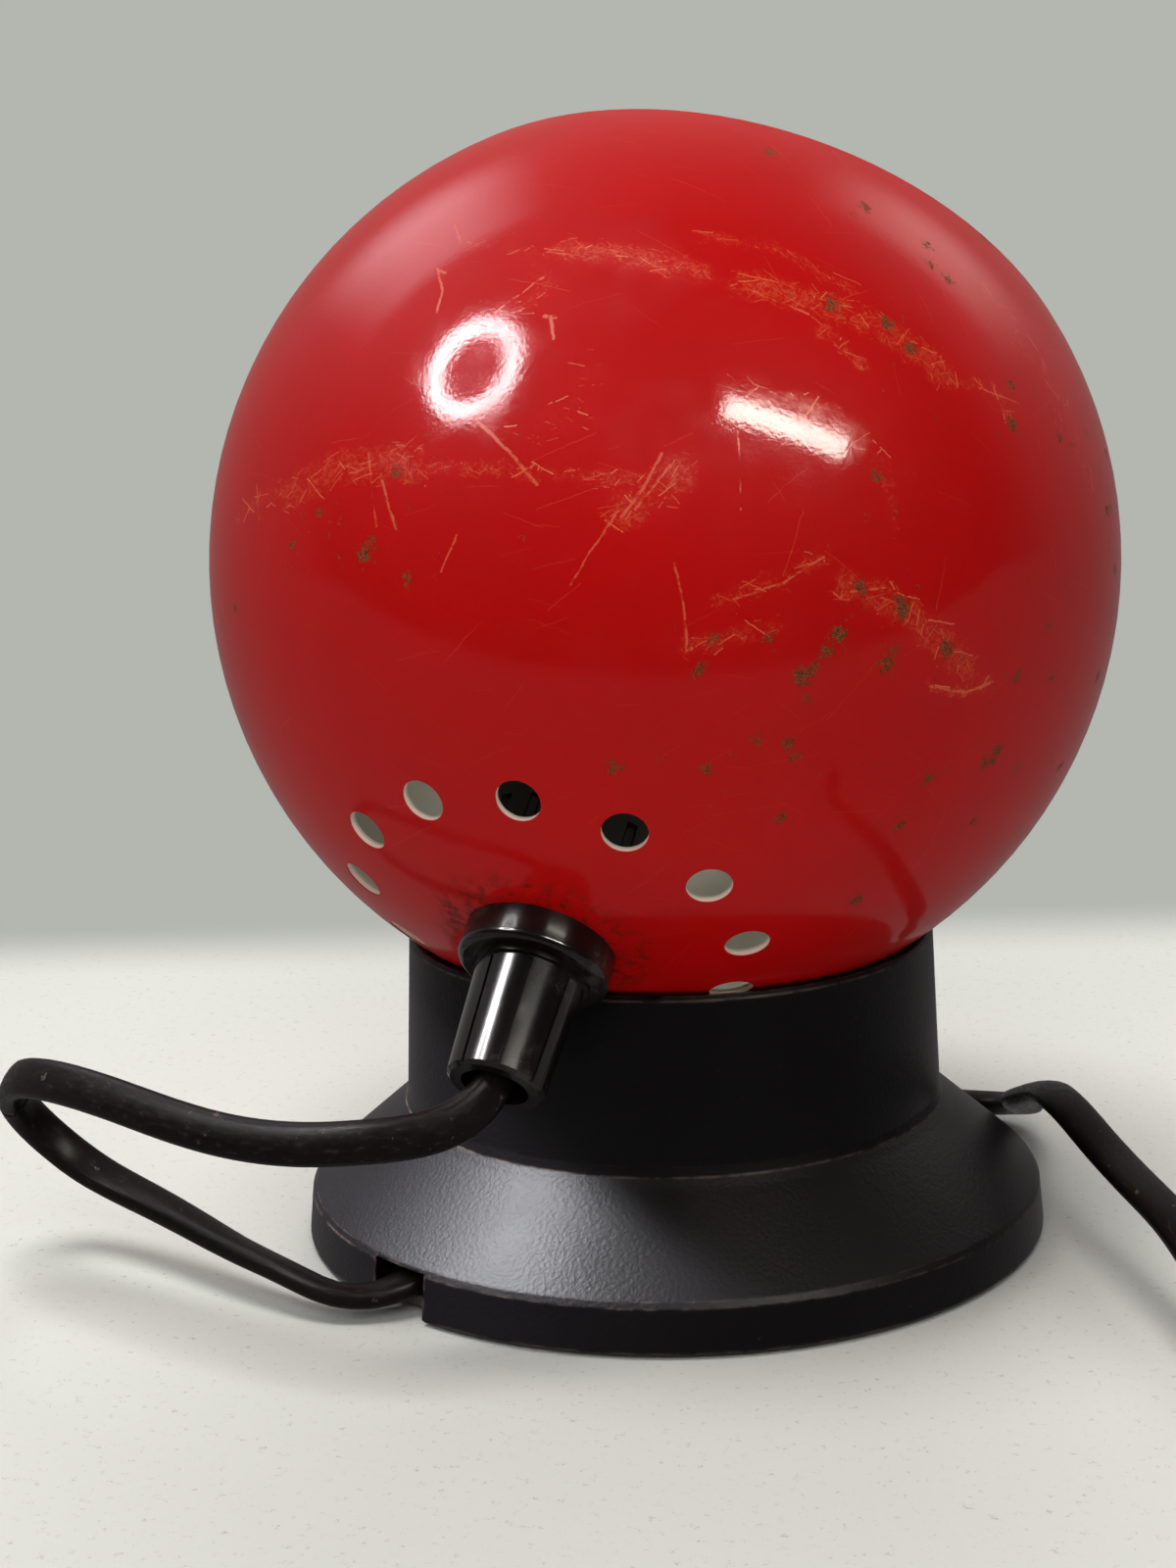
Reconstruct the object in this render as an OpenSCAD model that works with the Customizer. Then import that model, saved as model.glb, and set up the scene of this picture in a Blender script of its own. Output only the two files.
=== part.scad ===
// Ball table lamp: a steel ball with a lampholder inside, resting in the mouth of a weighted base.
// Millimetres. +Z is up, the underside's pads stand on Z = 0, and the lamp is aimed towards -Y.

/* [Ball] */
// Outside diameter of the ball
ball_d = 120; // [112:1:130]
// Thickness of the ball's steel sheet
sheet_t = 1; // [0.7:0.1:1.4]
// Diameter of the round opening that lets the light out
opening_d = 101; // [90:0.5:103]
// Height of the lamp's aim above level, in degrees
aim_up = 44; // [36:1:44]
// Number of vent holes in the ring behind the lampholder
vent_n = 12; // [8:1:14]
// Diameter of a vent hole
vent_d = 5.6; // [4:0.1:7]
// Diameter of the ring of vent holes, across the ball
vent_ring_d = 50; // [46:1:60]
// Turn of the ring of vent holes about the lamp's axis, in degrees
vent_turn = 9; // [0:1:29]

/* [Cord grip] */
// Diameter of the round collar against the ball
collar_d = 19; // [17:0.5:20]
// Thickness of the collar at its rim
collar_t = 3.7; // [3:0.1:5]
// Diameter of the tapered barrel where it leaves the collar
barrel_d = 13.6; // [12:0.1:15]
// Diameter of the barrel at its open end
barrel_end_d = 12.2; // [11:0.1:13]
// Length of the barrel outside the collar
barrel_len = 15.6; // [14:0.1:17]
// Outside diameter of the threaded stem through the ball
stem_d = 10; // [10:0.5:11]
// Bore of the stem that the cord passes
stem_bore_d = 6; // [5.8:0.1:6.6]
// Number of grooves along the barrel
groove_n = 8; // [6:1:12]

/* [Lampholder] */
// Outside diameter of the lampholder's skirt
holder_d = 28; // [27:0.5:32]
// Length of the lampholder
holder_len = 34.5; // [33:0.5:38]
// Inside diameter of the screw shell that takes the bulb's cap
shell_bore_d = 14; // [13.8:0.1:14.6]
// Diameter of the bulb's globe
bulb_d = 45; // [40:1:46]
// Overall length of the bulb
bulb_len = 73; // [68:1:76]

/* [Base] */
// Diameter of the foot at the table
foot_d = 101.8; // [98:0.2:110]
// Diameter of the rim where the cone starts
rim_d = 100.7; // [97:0.1:106]
// Height of the rim
rim_h = 6.9; // [6.6:0.1:9]
// Height of the cone above the rim
cone_h = 11.6; // [10:0.1:14]
// Diameter of the neck where it leaves the cone
neck_d = 73.4; // [72:0.2:76]
// How much narrower the neck is at its mouth
neck_draft = 1.9; // [0.5:0.1:4]
// Height of the neck above the cone
neck_h = 23.1; // [20:0.1:28]
// Wall thickness of the base
wall = 2.2; // [1.8:0.1:2.6]
// Width of the two cord notches in the rim
notch_w = 9.5; // [8:0.1:12]
// Turn of the notches from the line under the lamp's aim, in degrees
notch_turn = 23; // [15:1:30]

/* [Inside the base] */
// Height of the soft pads under the base
pad_t = 0.9; // [0.6:0.1:1.2]
// Thickness of the bottom cover
cover_t = 1.5; // [1.2:0.1:2]
// Thickness of the ballast's plate
ballast_t = 6.6; // [6:0.1:8]
// Diameter of the magnet's steel pot
pot_d = 26; // [22:0.5:30]
// Height of the magnet's steel pot
pot_h = 6; // [5:0.1:8]
// Width of the ring that the ball turns on
seat_w = 4; // [3:0.1:5]
// Height of that ring at its inner edge
seat_h = 3.2; // [2.6:0.1:4]
// Diameter of the base screws
screw_d = 3; // [2.5:0.1:3.5]

/* [Mains lead] */
// Width of the flat flexible cord
cord_w = 5.4; // [5:0.1:5.6]
// Thickness of the flat flexible cord
cord_t = 3.2; // [3:0.1:3.4]
// Length of the in-line switch
switch_len = 54; // [50:1:60]
// Width of the in-line switch
switch_w = 22; // [20:0.5:26]
// Height of the in-line switch
switch_h = 16; // [14:0.5:18]
// Turn of the rocker between its two positions, in degrees
rocker_travel = 16; // [10:1:20]
// Distance between the plug's pins
pin_pitch = 18.6; // [17.5:0.1:19]
// Diameter of a plug pin
pin_d = 4; // [3.8:0.1:4.8]
// Length of a plug pin
pin_len = 19; // [18:0.5:19.5]
// Turns of the wound cord in one layer
coil_turns = 4; // [3:1:5]
// Diameter at the middle of the coil's turns
coil_d = 59; // [54:1:65]

/* [Clearances] */
// Gap between the ball and the mouth of the neck
mouth_gap = 0.4; // [0.3:0.05:0.8]
// Gap between the ball and the ring it turns on
seat_gap = 0.15; // [0.1:0.05:0.25]
// Radial play of round pieces that fit into each other
fit = 0.05; // [0.03:0.01:0.08]
// Gap between the ball and the magnet
magnet_gap = 0.5; // [0.4:0.1:1]
// Gap that lets loose pieces be put together
slack = 0.3; // [0.2:0.05:0.5]

/* [Hidden] */
$fn = 96;
eps = 0.02;

ball_r = ball_d / 2;
inner_r = ball_r - sheet_t;
opening_z = sqrt(ball_r * ball_r - opening_d * opening_d / 4);
vent_angle = asin(vent_ring_d / ball_d);

// Heights up the base
mouth_d = neck_d - neck_draft;
base_h = rim_h + cone_h + neck_h;
cover_z = pad_t;
ballast_z = cover_z + cover_t;
plate_top = ballast_z + ballast_t;
cord_z = ballast_z + 1 + cord_t / 2;
shell_z = 0.3;
rim_land = 1.1;
mouth_r = mouth_d / 2 - rim_land;
ball_z = base_h + sqrt(pow(ball_r + mouth_gap, 2) - mouth_r * mouth_r);

// The ring's bore in the neck and the ledge that carries the ring
bore_r = mouth_d / 2 - wall;
seat_r = bore_r - fit;
seat_in_r = seat_r - seat_w;
ledge_z = ball_z - sqrt(pow(ball_r + seat_gap, 2) - seat_in_r * seat_in_r) - seat_h;
ledge_t = 2;

// The collar would meet the mouth if the lamp were aimed higher than this
collar_gap = 0.5;
highest_aim = acos(mouth_d / 2 / (ball_r + mouth_gap)) - asin(collar_d / ball_d) - collar_gap;
aim = min(aim_up, highest_aim);

// Stations along the lamp's axis, which runs through the ball's centre and out of the opening
collar_z = -ball_r - collar_t;
barrel_z = collar_z - barrel_len;
recess_z = barrel_z + 6;
recess_d = 8.4;
washer_r = 9;
washer_t = 0.8;
washer_z = fit - sqrt(inner_r * inner_r - washer_r * washer_r);
cap_z = washer_z + washer_t;
cap_len = 11.5;
cap_wall = 1.8;
skirt_z = cap_z + cap_len;
skirt_end = cap_z + holder_len;
insert_t = 6.5;
insert_z = skirt_z - 2;
insert_top = insert_z + insert_t;
insert_r = holder_d / 2 - cap_wall - 1;
shell_t = 0.5;
shell_r = shell_bore_d / 2 + shell_t;
contact_t = 0.5;
contact_rise = 0.8;
tip_z = insert_top + contact_t + contact_rise + 0.1;
tip_h = 1.1;
glass_disc_h = 1.3;
thread_z = tip_z + tip_h + glass_disc_h;
thread_len = 16.5;
flare_len = 3.5;
bulb_r = bulb_d / 2;
bulb_cap_r = shell_bore_d / 2 - 0.1;
flare_r = bulb_cap_r + 1.4;
bulb_cap_t = 0.4;
globe_z = tip_z + bulb_len - bulb_r;
globe_t = 0.7;
flare_end = thread_z + thread_len + flare_len;

// Pieces inside the base
pot_z = ball_z - ball_r - magnet_gap - pot_h;
pot_wall = 1.6;
magnet_hole_r = 4;
hub_r = bore_r - 3.5;
hub_top = plate_top + 7;
pillar_r = 11;
plate_r = 44;
boss_r = 38;
boss_d = 7;
channel_w = cord_w + 2 * slack;
clamp_t = 1;
clamp_len = 24;
clamp_w = 9;
clamp_pitch = 16;
head_r = screw_d / 2 + 1.4;
cone_k = (rim_d - neck_d) / 2 / cone_h;
cone_wall = wall * sqrt(1 + cone_k * cone_k);

// Cord routes: X, Y, Z of the middle of the cord, and the roll of its wide side in degrees.
// One route runs from the cord grip round the loop, under the ballast and out to the switch.
ROUTE = [[0, 52.8, 40.1, 90], [0, 57, 36, 94], [2, 61, 33, 100], [6.5, 64.5, 31.5, 106],
    [12.5, 67, 31, 109], [20, 68, 30, 111], [29, 67.5, 29.5, 114], [38.5, 66, 30, 117],
    [48.5, 63.5, 31, 120], [58, 61, 31.5, 122], [66, 57.5, 30.5, 124], [72, 53, 28, 126],
    [75.5, 48.5, 24, 120], [76.5, 44, 19.5, 90], [73.5, 41, 14.5, 46], [68, 40.5, 11, 20],
    [60, 41.5, 9, 6], [51.5, 44, 7.5, -6], [43, 47, 6, -16], [34, 49.5, 5, -24],
    [27, 50.5, 3, -18], [22, 48, 2.8, -8], [19, 45.5, 4, 0], [17, 40, 5, 0], [8.5, 20, 5, 0],
    [0, 0, 5, 0], [-8.5, -20, 5, 0], [-17, -40, 5, 0], [-19, -45.5, 4.5, 0],
    [-23.5, -50.5, 2.7, 0], [-29.5, -52.5, 2.3, 0], [-35, -51, 3.2, 0], [-38.5, -46.5, 5, 0],
    [-39, -41, 7, 0], [-39.5, -36, 9.2, 0], [-43, -30.5, 12, 0], [-47, -23, 15.5, 2],
    [-50, -15.5, 17.5, 4], [-54, -9.5, 17.5, 6], [-58.5, -3.5, 16, 6], [-63, 2.5, 15, 6],
    [-67.5, 10, 15, 6], [-73.5, 18.5, 14.5, 5], [-79.5, 28.5, 12.5, 4], [-85.5, 39, 9, 3],
    [-91.5, 49, 5, 2], [-97.5, 57, 3, 1], [-103, 62.4, 3.2, 0], [-108, 64.8, 5.1, 0],
    [-111.9, 65, 5.5, 0]];
LOOP_TURN = 12;
LOOP_END = 23;
LEAD_START = 27;
SWITCH_AT = [-139, 65, 0];
COIL_AT = [-140, 8, 0];
LEAD_BACK = [[-166.1, 65, 5.5, 0], [-169, 64.9, 5.3, 5], [-173, 62.6, 4.6, 28],
    [-176.4, 58, 3.7, 55], [-178, 51.5, 3, 76], [-178.2, 44, 2.8, 88], [-178.2, 35, 2.8, 90],
    [-178.1, 25, 2.8, 90], [-178, 16, 2.8, 90], [-178, 8, 2.8, 90]];
LEAD_END = [[-178, 8, 8.3, 90], [-178.2, -1, 7.6, 88], [-178, -12, 5, 76],
    [-177.5, -24, 3.2, 50], [-176.5, -36, 2.3, 22], [-174, -47, 2, 8], [-169.5, -56, 2, 2],
    [-163, -63, 2.6, 0], [-155, -67, 4.5, 0], [-147, -68.1, 6.5, 0], [-142.5, -68.2, 6.9, 0],
    [-139.1, -68.2, 6.9, 0]];
PLUG_AT = [-139, -68.2, 6.9];
CORD_SIDES = 8;

plug_w = 35;
plug_h = 13.8;
plug_len = 36;
sleeve_len = 20;
sleeve_d = 9.6;
shank_len = 8;
shank_d = pin_d - 0.8;

// ---------- Helpers ----------

module along_lamp() {
    translate([0, 0, ball_z]) rotate([90 - aim, 0, 0]) children();
}

module turned_base() {
    rotate([0, 0, -notch_turn]) children();
}

module ring(r_out, r_in, h) {
    rotate_extrude() translate([r_in, 0]) square([r_out - r_in, h]);
}

// A flat-headed screw with its head's face at Z = 0, pointing up
module countersunk(head_h, length) {
    cylinder(h = head_h, r1 = head_r, r2 = screw_d / 2);
    translate([0, 0, head_h - eps]) cylinder(h = length - head_h + eps, d = screw_d);
}

module flat_cord_section() {
    square([cord_w - cord_t, cord_t], center = true);
    for (side = [-1, 1]) translate([side * (cord_w - cord_t) / 2, 0]) circle(d = cord_t);
}

function unit(v) = v / norm(v);
function place(q) = [q[0], q[1], q[2]];
function heading(route, i) = unit(place(route[min(i + 1, len(route) - 1)]) - place(route[max(i - 1, 0)]));
function across(t) = norm([t[0], t[1]]) < 0.01 ? [1, 0, 0] : unit(cross([0, 0, 1], t));

// The corners of one section of a flat cord: side is level and up is square to it and the route
function cord_ring(route, i) =
    let (t = heading(route, i), side = across(t), up = cross(t, side), roll = route[i][3],
         wide = side * cos(roll) + up * sin(roll), thin = cross(t, wide))
    [for (k = [0:CORD_SIDES - 1]) let (a = 360 * (k + 0.5) / CORD_SIDES)
        place(route[i]) + wide * cord_w / 2 * cos(a) / cos(180 / CORD_SIDES)
            + thin * cord_t / 2 * sin(a) / cos(180 / CORD_SIDES)];

// The cord between two points of a route, both counted from 0
module cord_tube(route, from, to) {
    n = to - from + 1;
    points = [for (i = [from:to]) each cord_ring(route, i)];
    sides = [for (i = [0:n - 2]) for (k = [0:CORD_SIDES - 1])
        let (a = i * CORD_SIDES + k, b = i * CORD_SIDES + (k + 1) % CORD_SIDES)
        each [[a, a + CORD_SIDES, b], [b, a + CORD_SIDES, b + CORD_SIDES]]];
    first = [for (k = [0:CORD_SIDES - 1]) k];
    last = [for (k = [CORD_SIDES - 1:-1:0]) (n - 1) * CORD_SIDES + k];
    polyhedron(points, concat(sides, [first], [last]));
}

// ---------- Ball ----------

module ball_shade() {
    color("firebrick") along_lamp() difference() {
        sphere(r = ball_r);
        sphere(r = inner_r);
        translate([0, 0, opening_z]) cylinder(h = ball_d, r = ball_d);
        translate([0, 0, -ball_d]) cylinder(h = ball_d, r = stem_d / 2 + fit);
        for (i = [0:vent_n - 1]) rotate([0, 0, vent_turn + i * 360 / vent_n])
            rotate([0, 180 - vent_angle, 0]) translate([0, 0, inner_r / 2])
                cylinder(h = ball_r, d = vent_d);
    }
}

module grip_collar() {
    round_r = 0.9;
    color([0.06, 0.06, 0.07]) along_lamp() difference() {
        rotate_extrude() difference() {
            union() {
                translate([0, collar_z]) square([collar_d / 2 - round_r, collar_t + 3]);
                translate([0, collar_z + round_r]) square([collar_d / 2, collar_t + 3 - round_r]);
                translate([collar_d / 2 - round_r, collar_z + round_r]) circle(r = round_r);
            }
            translate([-collar_d, collar_z - 1]) square([collar_d, collar_t + 6]);
        }
        sphere(r = ball_r);
        translate([0, 0, collar_z - 1]) cylinder(h = collar_t + 6, r = stem_d / 2 + fit);
    }
}

module cord_grip() {
    groove_w = 0.45;
    groove_depth = 0.35;
    lip_h = 0.7;
    lip_r = barrel_d / 2 + 0.6;
    taper = atan((barrel_d - barrel_end_d) / 2 / barrel_len);
    color([0.05, 0.05, 0.06]) along_lamp() difference() {
        union() {
            translate([0, 0, barrel_z]) rotate_extrude() polygon([[0, 0], [barrel_end_d / 2 - 0.5, 0],
                [barrel_end_d / 2, 0.5], [barrel_d / 2, barrel_len - lip_h], [lip_r, barrel_len - lip_h],
                [lip_r, barrel_len], [0, barrel_len]]);
            translate([0, 0, collar_z - eps]) cylinder(h = cap_z + 7 - collar_z, d = stem_d);
        }
        translate([0, 0, barrel_z - 1]) cylinder(h = cap_z + 9 - barrel_z, d = stem_bore_d);
        translate([0, 0, barrel_z - 1]) cylinder(h = recess_z - barrel_z + 1, d = recess_d);
        for (i = [0:groove_n - 1]) rotate([0, 0, (i + 0.5) * 360 / groove_n])
            translate([barrel_end_d / 2 - groove_depth, -groove_w / 2, barrel_z - 1])
                rotate([0, taper, 0]) cube([3, groove_w, barrel_len - lip_h + 0.6]);
    }
}

module toothed_washer() {
    teeth = 10;
    color("silver") along_lamp() translate([0, 0, washer_z]) difference() {
        ring(washer_r, stem_d / 2 + 2 * fit, washer_t);
        for (i = [0:teeth - 1]) rotate([0, 0, i * 360 / teeth])
            translate([washer_r - 1.6, -0.9, -1]) cube([3, 1.8, washer_t + 2]);
    }
}

// ---------- Lampholder ----------

module holder_cap() {
    foot_r = 10;
    color([0.08, 0.07, 0.07]) along_lamp() translate([0, 0, cap_z]) difference() {
        rotate_extrude() polygon([[0, 0], [foot_r, 0], [foot_r, 2], [holder_d / 2 - 0.5, 6],
            [holder_d / 2 - 0.5, cap_len], [0, cap_len]]);
        translate([0, 0, -1]) cylinder(h = cap_len, r = stem_d / 2 + fit);
        translate([0, 0, 7 + fit]) cylinder(h = cap_len, r = insert_r - 0.8);
        translate([0, 0, insert_z - cap_z]) cylinder(h = cap_len, r = insert_r + fit);
        for (i = [0:19]) rotate([0, 0, i * 18]) translate([holder_d / 2 - 0.3, 0, -1])
            cylinder(h = cap_len + 2, r = 0.8, $fn = 16);
    }
}

module holder_skirt() {
    mouth_lip = 0.6;
    color([0.08, 0.07, 0.07]) along_lamp() difference() {
        translate([0, 0, skirt_z]) rotate_extrude() polygon([[0, 0], [holder_d / 2 - 0.5, 0],
            [holder_d / 2 - 0.5, 3], [holder_d / 2, 3.5], [holder_d / 2, skirt_end - skirt_z - 1],
            [holder_d / 2 - mouth_lip, skirt_end - skirt_z], [0, skirt_end - skirt_z]]);
        translate([0, 0, skirt_z - 1]) cylinder(h = insert_top - skirt_z + 1 + fit, r = insert_r + fit);
        translate([0, 0, skirt_z]) cylinder(h = holder_len, r = shell_r + 2 * fit);
    }
}

module contact_insert() {
    color("ivory") along_lamp() difference() {
        translate([0, 0, insert_z]) cylinder(h = insert_t, r = insert_r);
        terminal_places() cylinder(h = 4, r = 1.25 + fit);
    }
}

module terminal_places() {
    for (side = [-1, 1]) translate([side * 5.6, 0, insert_z - eps]) children();
}

module screw_shell() {
    color("goldenrod") along_lamp() translate([0, 0, insert_top])
        ring(shell_r, shell_bore_d / 2, skirt_end - insert_top - 1);
}

module centre_contact() {
    color("goldenrod") along_lamp() translate([0, 0, insert_top]) {
        translate([-4, -1.5, 0]) cube([8, 3, contact_t]);
        translate([0, 0, contact_t - eps]) cylinder(h = contact_rise + eps, r1 = 1.8, r2 = 1.2);
    }
}

module terminal_screws() {
    color("goldenrod") along_lamp() terminal_places() {
        cylinder(h = 3.9, r = 1.25);
        difference() {
            translate([0, 0, -1.6 + eps]) cylinder(h = 1.6, r = 2.1);
            translate([-3, -0.3, -2.1]) cube([6, 0.6, 1]);
        }
    }
}

module holder_cord() {
    color([0.1, 0.09, 0.09]) along_lamp() translate([0, 0, recess_z]) rotate([0, 0, 90])
        linear_extrude(cap_z + 7 - recess_z) flat_cord_section();
}

// ---------- Bulb ----------

module bulb_globe() {
    neck_r = flare_r - bulb_cap_t - fit;
    neck_z = thread_z + thread_len + 1.2 + fit;
    color("white") along_lamp() difference() {
        union() {
            translate([0, 0, globe_z]) sphere(r = bulb_r);
            bulb_neck(neck_r, neck_z, 0);
        }
        translate([0, 0, globe_z]) sphere(r = bulb_r - globe_t);
        bulb_neck(neck_r - globe_t, neck_z - 1, globe_t);
    }
}

// The neck widens from the cap's flare into the globe
module bulb_neck(r, z, inset) {
    meet = bulb_r * 0.72;
    rotate_extrude() polygon([[0, z], [r, z], [r, flare_end + 1],
        [meet - inset, globe_z - sqrt(bulb_r * bulb_r - meet * meet)], [meet - inset - 2, globe_z],
        [0, globe_z]]);
}

module bulb_cap() {
    color("gainsboro") along_lamp() translate([0, 0, thread_z]) rotate_extrude()
        difference() {
            bulb_cap_half(0);
            bulb_cap_half(bulb_cap_t);
        }
}

module bulb_cap_half(inset) {
    polygon([[0, inset], [bulb_cap_r - 1 - inset, inset], [bulb_cap_r - inset, 1 + inset],
        [bulb_cap_r - inset, thread_len], [flare_r - inset, thread_len + 1.2],
        [flare_r - inset, thread_len + flare_len + inset], [0, thread_len + flare_len + inset]]);
}

module bulb_insulator() {
    color([0.1, 0.1, 0.12]) along_lamp() translate([0, 0, tip_z + tip_h])
        cylinder(h = glass_disc_h, r1 = 2.4, r2 = bulb_cap_r - 1.2);
}

module bulb_contact() {
    color("lightgrey") along_lamp() translate([0, 0, tip_z]) cylinder(h = tip_h, r1 = 1.5, r2 = 2.2);
}

// ---------- Base ----------

module seat_ring() {
    color([0.14, 0.14, 0.14]) difference() {
        translate([0, 0, ledge_z + fit]) ring(seat_r, seat_in_r, base_h - ledge_z);
        translate([0, 0, ball_z]) sphere(r = ball_r + seat_gap);
    }
}

// Outline of the base from its foot to its mouth, with the small roundings of the moulding
module base_outline() {
    edge = 0.5;
    fillet = 1.2;
    neck_foot_z = rim_h + cone_h;
    polygon([[0, shell_z], [foot_d / 2 - edge, shell_z], [foot_d / 2, shell_z + edge],
        [rim_d / 2, rim_h - edge], [rim_d / 2 - edge, rim_h + edge / 2],
        [neck_d / 2 + fillet * cone_k, neck_foot_z - fillet],
        [neck_d / 2 + fillet * 0.25, neck_foot_z - fillet * 0.1],
        [neck_d / 2, neck_foot_z + fillet],
        [mouth_d / 2, base_h - edge], [mouth_d / 2 - edge, base_h], [0, base_h]]);
}

// Space inside the base: rim, cone and neck, with the bore for the ring at the top
module base_space() {
    rim_in = foot_d / 2 - wall - 0.2;
    cone_from = rim_h + (rim_d / 2 - cone_wall - rim_in) / cone_k;
    cone_to = rim_h + (rim_d / 2 - cone_wall - bore_r) / cone_k;
    polygon([[0, -1], [rim_in, -1], [rim_in, cone_from], [bore_r, cone_to],
        [bore_r, base_h + 1], [0, base_h + 1]]);
}

module boss_places() {
    for (i = [0:2]) rotate([0, 0, i * 120]) translate([boss_r, 0, 0]) children();
}

module base_ribs() {
    rib_t = 1.6;
    for (i = [0:5]) rotate([0, 0, 30 + i * 60]) translate([bore_r - 2.2, -rib_t / 2, plate_top + 0.4])
        cube([foot_d / 2 - bore_r, rib_t, base_h / 3]);
    boss_places() translate([0, 0, plate_top]) cylinder(h = base_h / 3, d = boss_d);
}

module base_shell() {
    color([0.1, 0.1, 0.11]) turned_base() difference() {
        union() {
            difference() {
                rotate_extrude() base_outline();
                rotate_extrude() base_space();
            }
            intersection() {
                base_ribs();
                rotate_extrude() offset_outline();
            }
            translate([0, 0, ledge_z - ledge_t]) ring(bore_r + eps, seat_in_r + 0.8, ledge_t);
        }
        translate([0, 0, ball_z]) sphere(r = ball_r + mouth_gap);
        for (side = [90, 270]) rotate([0, 0, side]) translate([plate_r, -notch_w / 2, -1])
            cube([foot_d, notch_w, rim_h + 0.8]);
        boss_places() translate([0, 0, plate_top - 1]) cylinder(h = 5, r = screw_d / 2 + fit);
    }
}

// The base's outline drawn in by less than the wall, so that ribs end inside the wall
module offset_outline() {
    inset = wall / 2;
    polygon([[0, 0], [foot_d / 2 - inset, 0], [rim_d / 2 - cone_wall / 2, rim_h],
        [neck_d / 2 - inset, rim_h + cone_h - inset], [neck_d / 2 - inset, base_h / 2],
        [0, base_h / 2]]);
}

// The ballast is one casting: a plate, a hub and the pillar that carries the magnet
module ballast() {
    top_z = pot_z;
    color([0.3, 0.3, 0.31]) turned_base() difference() {
        rotate_extrude() polygon([[0, ballast_z], [plate_r, ballast_z], [plate_r, plate_top - 1],
            [plate_r - 1, plate_top], [hub_r, plate_top], [hub_r - 2, hub_top],
            [pillar_r + 2, hub_top], [pillar_r, hub_top + 2], [pillar_r, top_z], [0, top_z]]);
        translate([-channel_w / 2, -plate_r - 1, ballast_z - 1])
            cube([channel_w, 2 * plate_r + 2, cord_z + cord_t / 2 - ballast_z + 1 + slack]);
        translate([-clamp_len / 2 - slack, -clamp_w / 2 - slack, ballast_z - 1])
            cube([clamp_len + 2 * slack, clamp_w + 2 * slack, 1 + clamp_t]);
        for (side = [-1, 1]) translate([side * clamp_pitch / 2, 0, ballast_z])
            cylinder(h = 6, r = screw_d / 2 + fit);
        boss_places() translate([0, 0, ballast_z - 1]) cylinder(h = ballast_t + 2, d = screw_d + 1.2);
        boss_places() translate([0, 0, ballast_z - 1]) cylinder(h = 1 + 2, r = head_r + slack);
        translate([0, 0, top_z - 9]) cylinder(h = 10, r = 2 + fit);
    }
}

module magnet_pot() {
    color("silver") translate([0, 0, pot_z]) difference() {
        cylinder(h = pot_h, d = pot_d);
        translate([0, 0, pot_wall]) cylinder(h = pot_h, r = pot_d / 2 - pot_wall);
        translate([0, 0, -1]) cylinder(h = pot_h, r = 2 + fit);
    }
}

module ring_magnet() {
    color([0.2, 0.2, 0.22]) translate([0, 0, pot_z + pot_wall])
        ring(pot_d / 2 - pot_wall - fit, magnet_hole_r, pot_h - pot_wall);
}

module magnet_screw() {
    head_z = pot_z + pot_wall;
    color("gainsboro") difference() {
        union() {
            translate([0, 0, head_z]) cylinder(h = 2.2, r = 3.5);
            translate([0, 0, head_z - 8]) cylinder(h = 8 + eps, r = 2);
        }
        translate([-3, -0.5, head_z + 1.3]) cube([6, 1, 2]);
    }
}

module bottom_cover() {
    cover_r = foot_d / 2 - wall - 0.2 - slack;
    color([0.25, 0.24, 0.22]) turned_base() translate([0, 0, cover_z]) difference() {
        cylinder(h = cover_t, r = cover_r);
        boss_places() cylinder(h = 3 * cover_t, r = head_r + slack, center = true);
    }
}

module cover_screws() {
    color("silver") turned_base() boss_places() translate([0, 0, cover_z + 0.1]) difference() {
        union() {
            cylinder(h = 2, r = head_r);
            cylinder(h = plate_top + 3.6 - cover_z, d = screw_d);
            translate([0, 0, 2 - eps]) cylinder(h = ballast_z + 2 - cover_z - 2.1 + eps, r = head_r);
        }
        translate([-head_r, -0.4, -1]) cube([2 * head_r, 0.8, 1.8]);
    }
}

module foot_pads() {
    color([0.12, 0.12, 0.12]) turned_base() for (i = [0:3]) rotate([0, 0, 45 + i * 90])
        translate([boss_r + 3, 0, 0]) cylinder(h = pad_t, d = 11);
}

module cord_clamp() {
    color("silver") turned_base() translate([0, 0, ballast_z]) difference() {
        translate([-clamp_len / 2, -clamp_w / 2, 0]) cube([clamp_len, clamp_w, clamp_t]);
        for (side = [-1, 1]) translate([side * clamp_pitch / 2, 0, -eps])
            cylinder(h = clamp_t + 2 * eps, r1 = head_r + fit, r2 = screw_d / 2 + fit);
    }
}

module clamp_screws() {
    color("silver") turned_base() for (side = [-1, 1]) translate([side * clamp_pitch / 2, 0, ballast_z])
        countersunk(clamp_t, 6);
}

// ---------- Cords ----------

module cord_colour() {
    color([0.1, 0.085, 0.08]) children();
}

module base_cord() {
    cord_colour() cord_tube(ROUTE, LOOP_END, LEAD_START);
}

module loop_cord_upper() {
    cord_colour() cord_tube(ROUTE, 0, LOOP_TURN);
}

module loop_cord_lower() {
    cord_colour() cord_tube(ROUTE, LOOP_TURN, LOOP_END);
}

module lead_to_switch() {
    cord_colour() cord_tube(ROUTE, LEAD_START, len(ROUTE) - 1);
}

module lead_to_coil() {
    cord_colour() cord_tube(LEAD_BACK, 0, len(LEAD_BACK) - 1);
}

module lead_to_plug() {
    cord_colour() cord_tube(LEAD_END, 0, len(LEAD_END) - 1);
}

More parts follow.
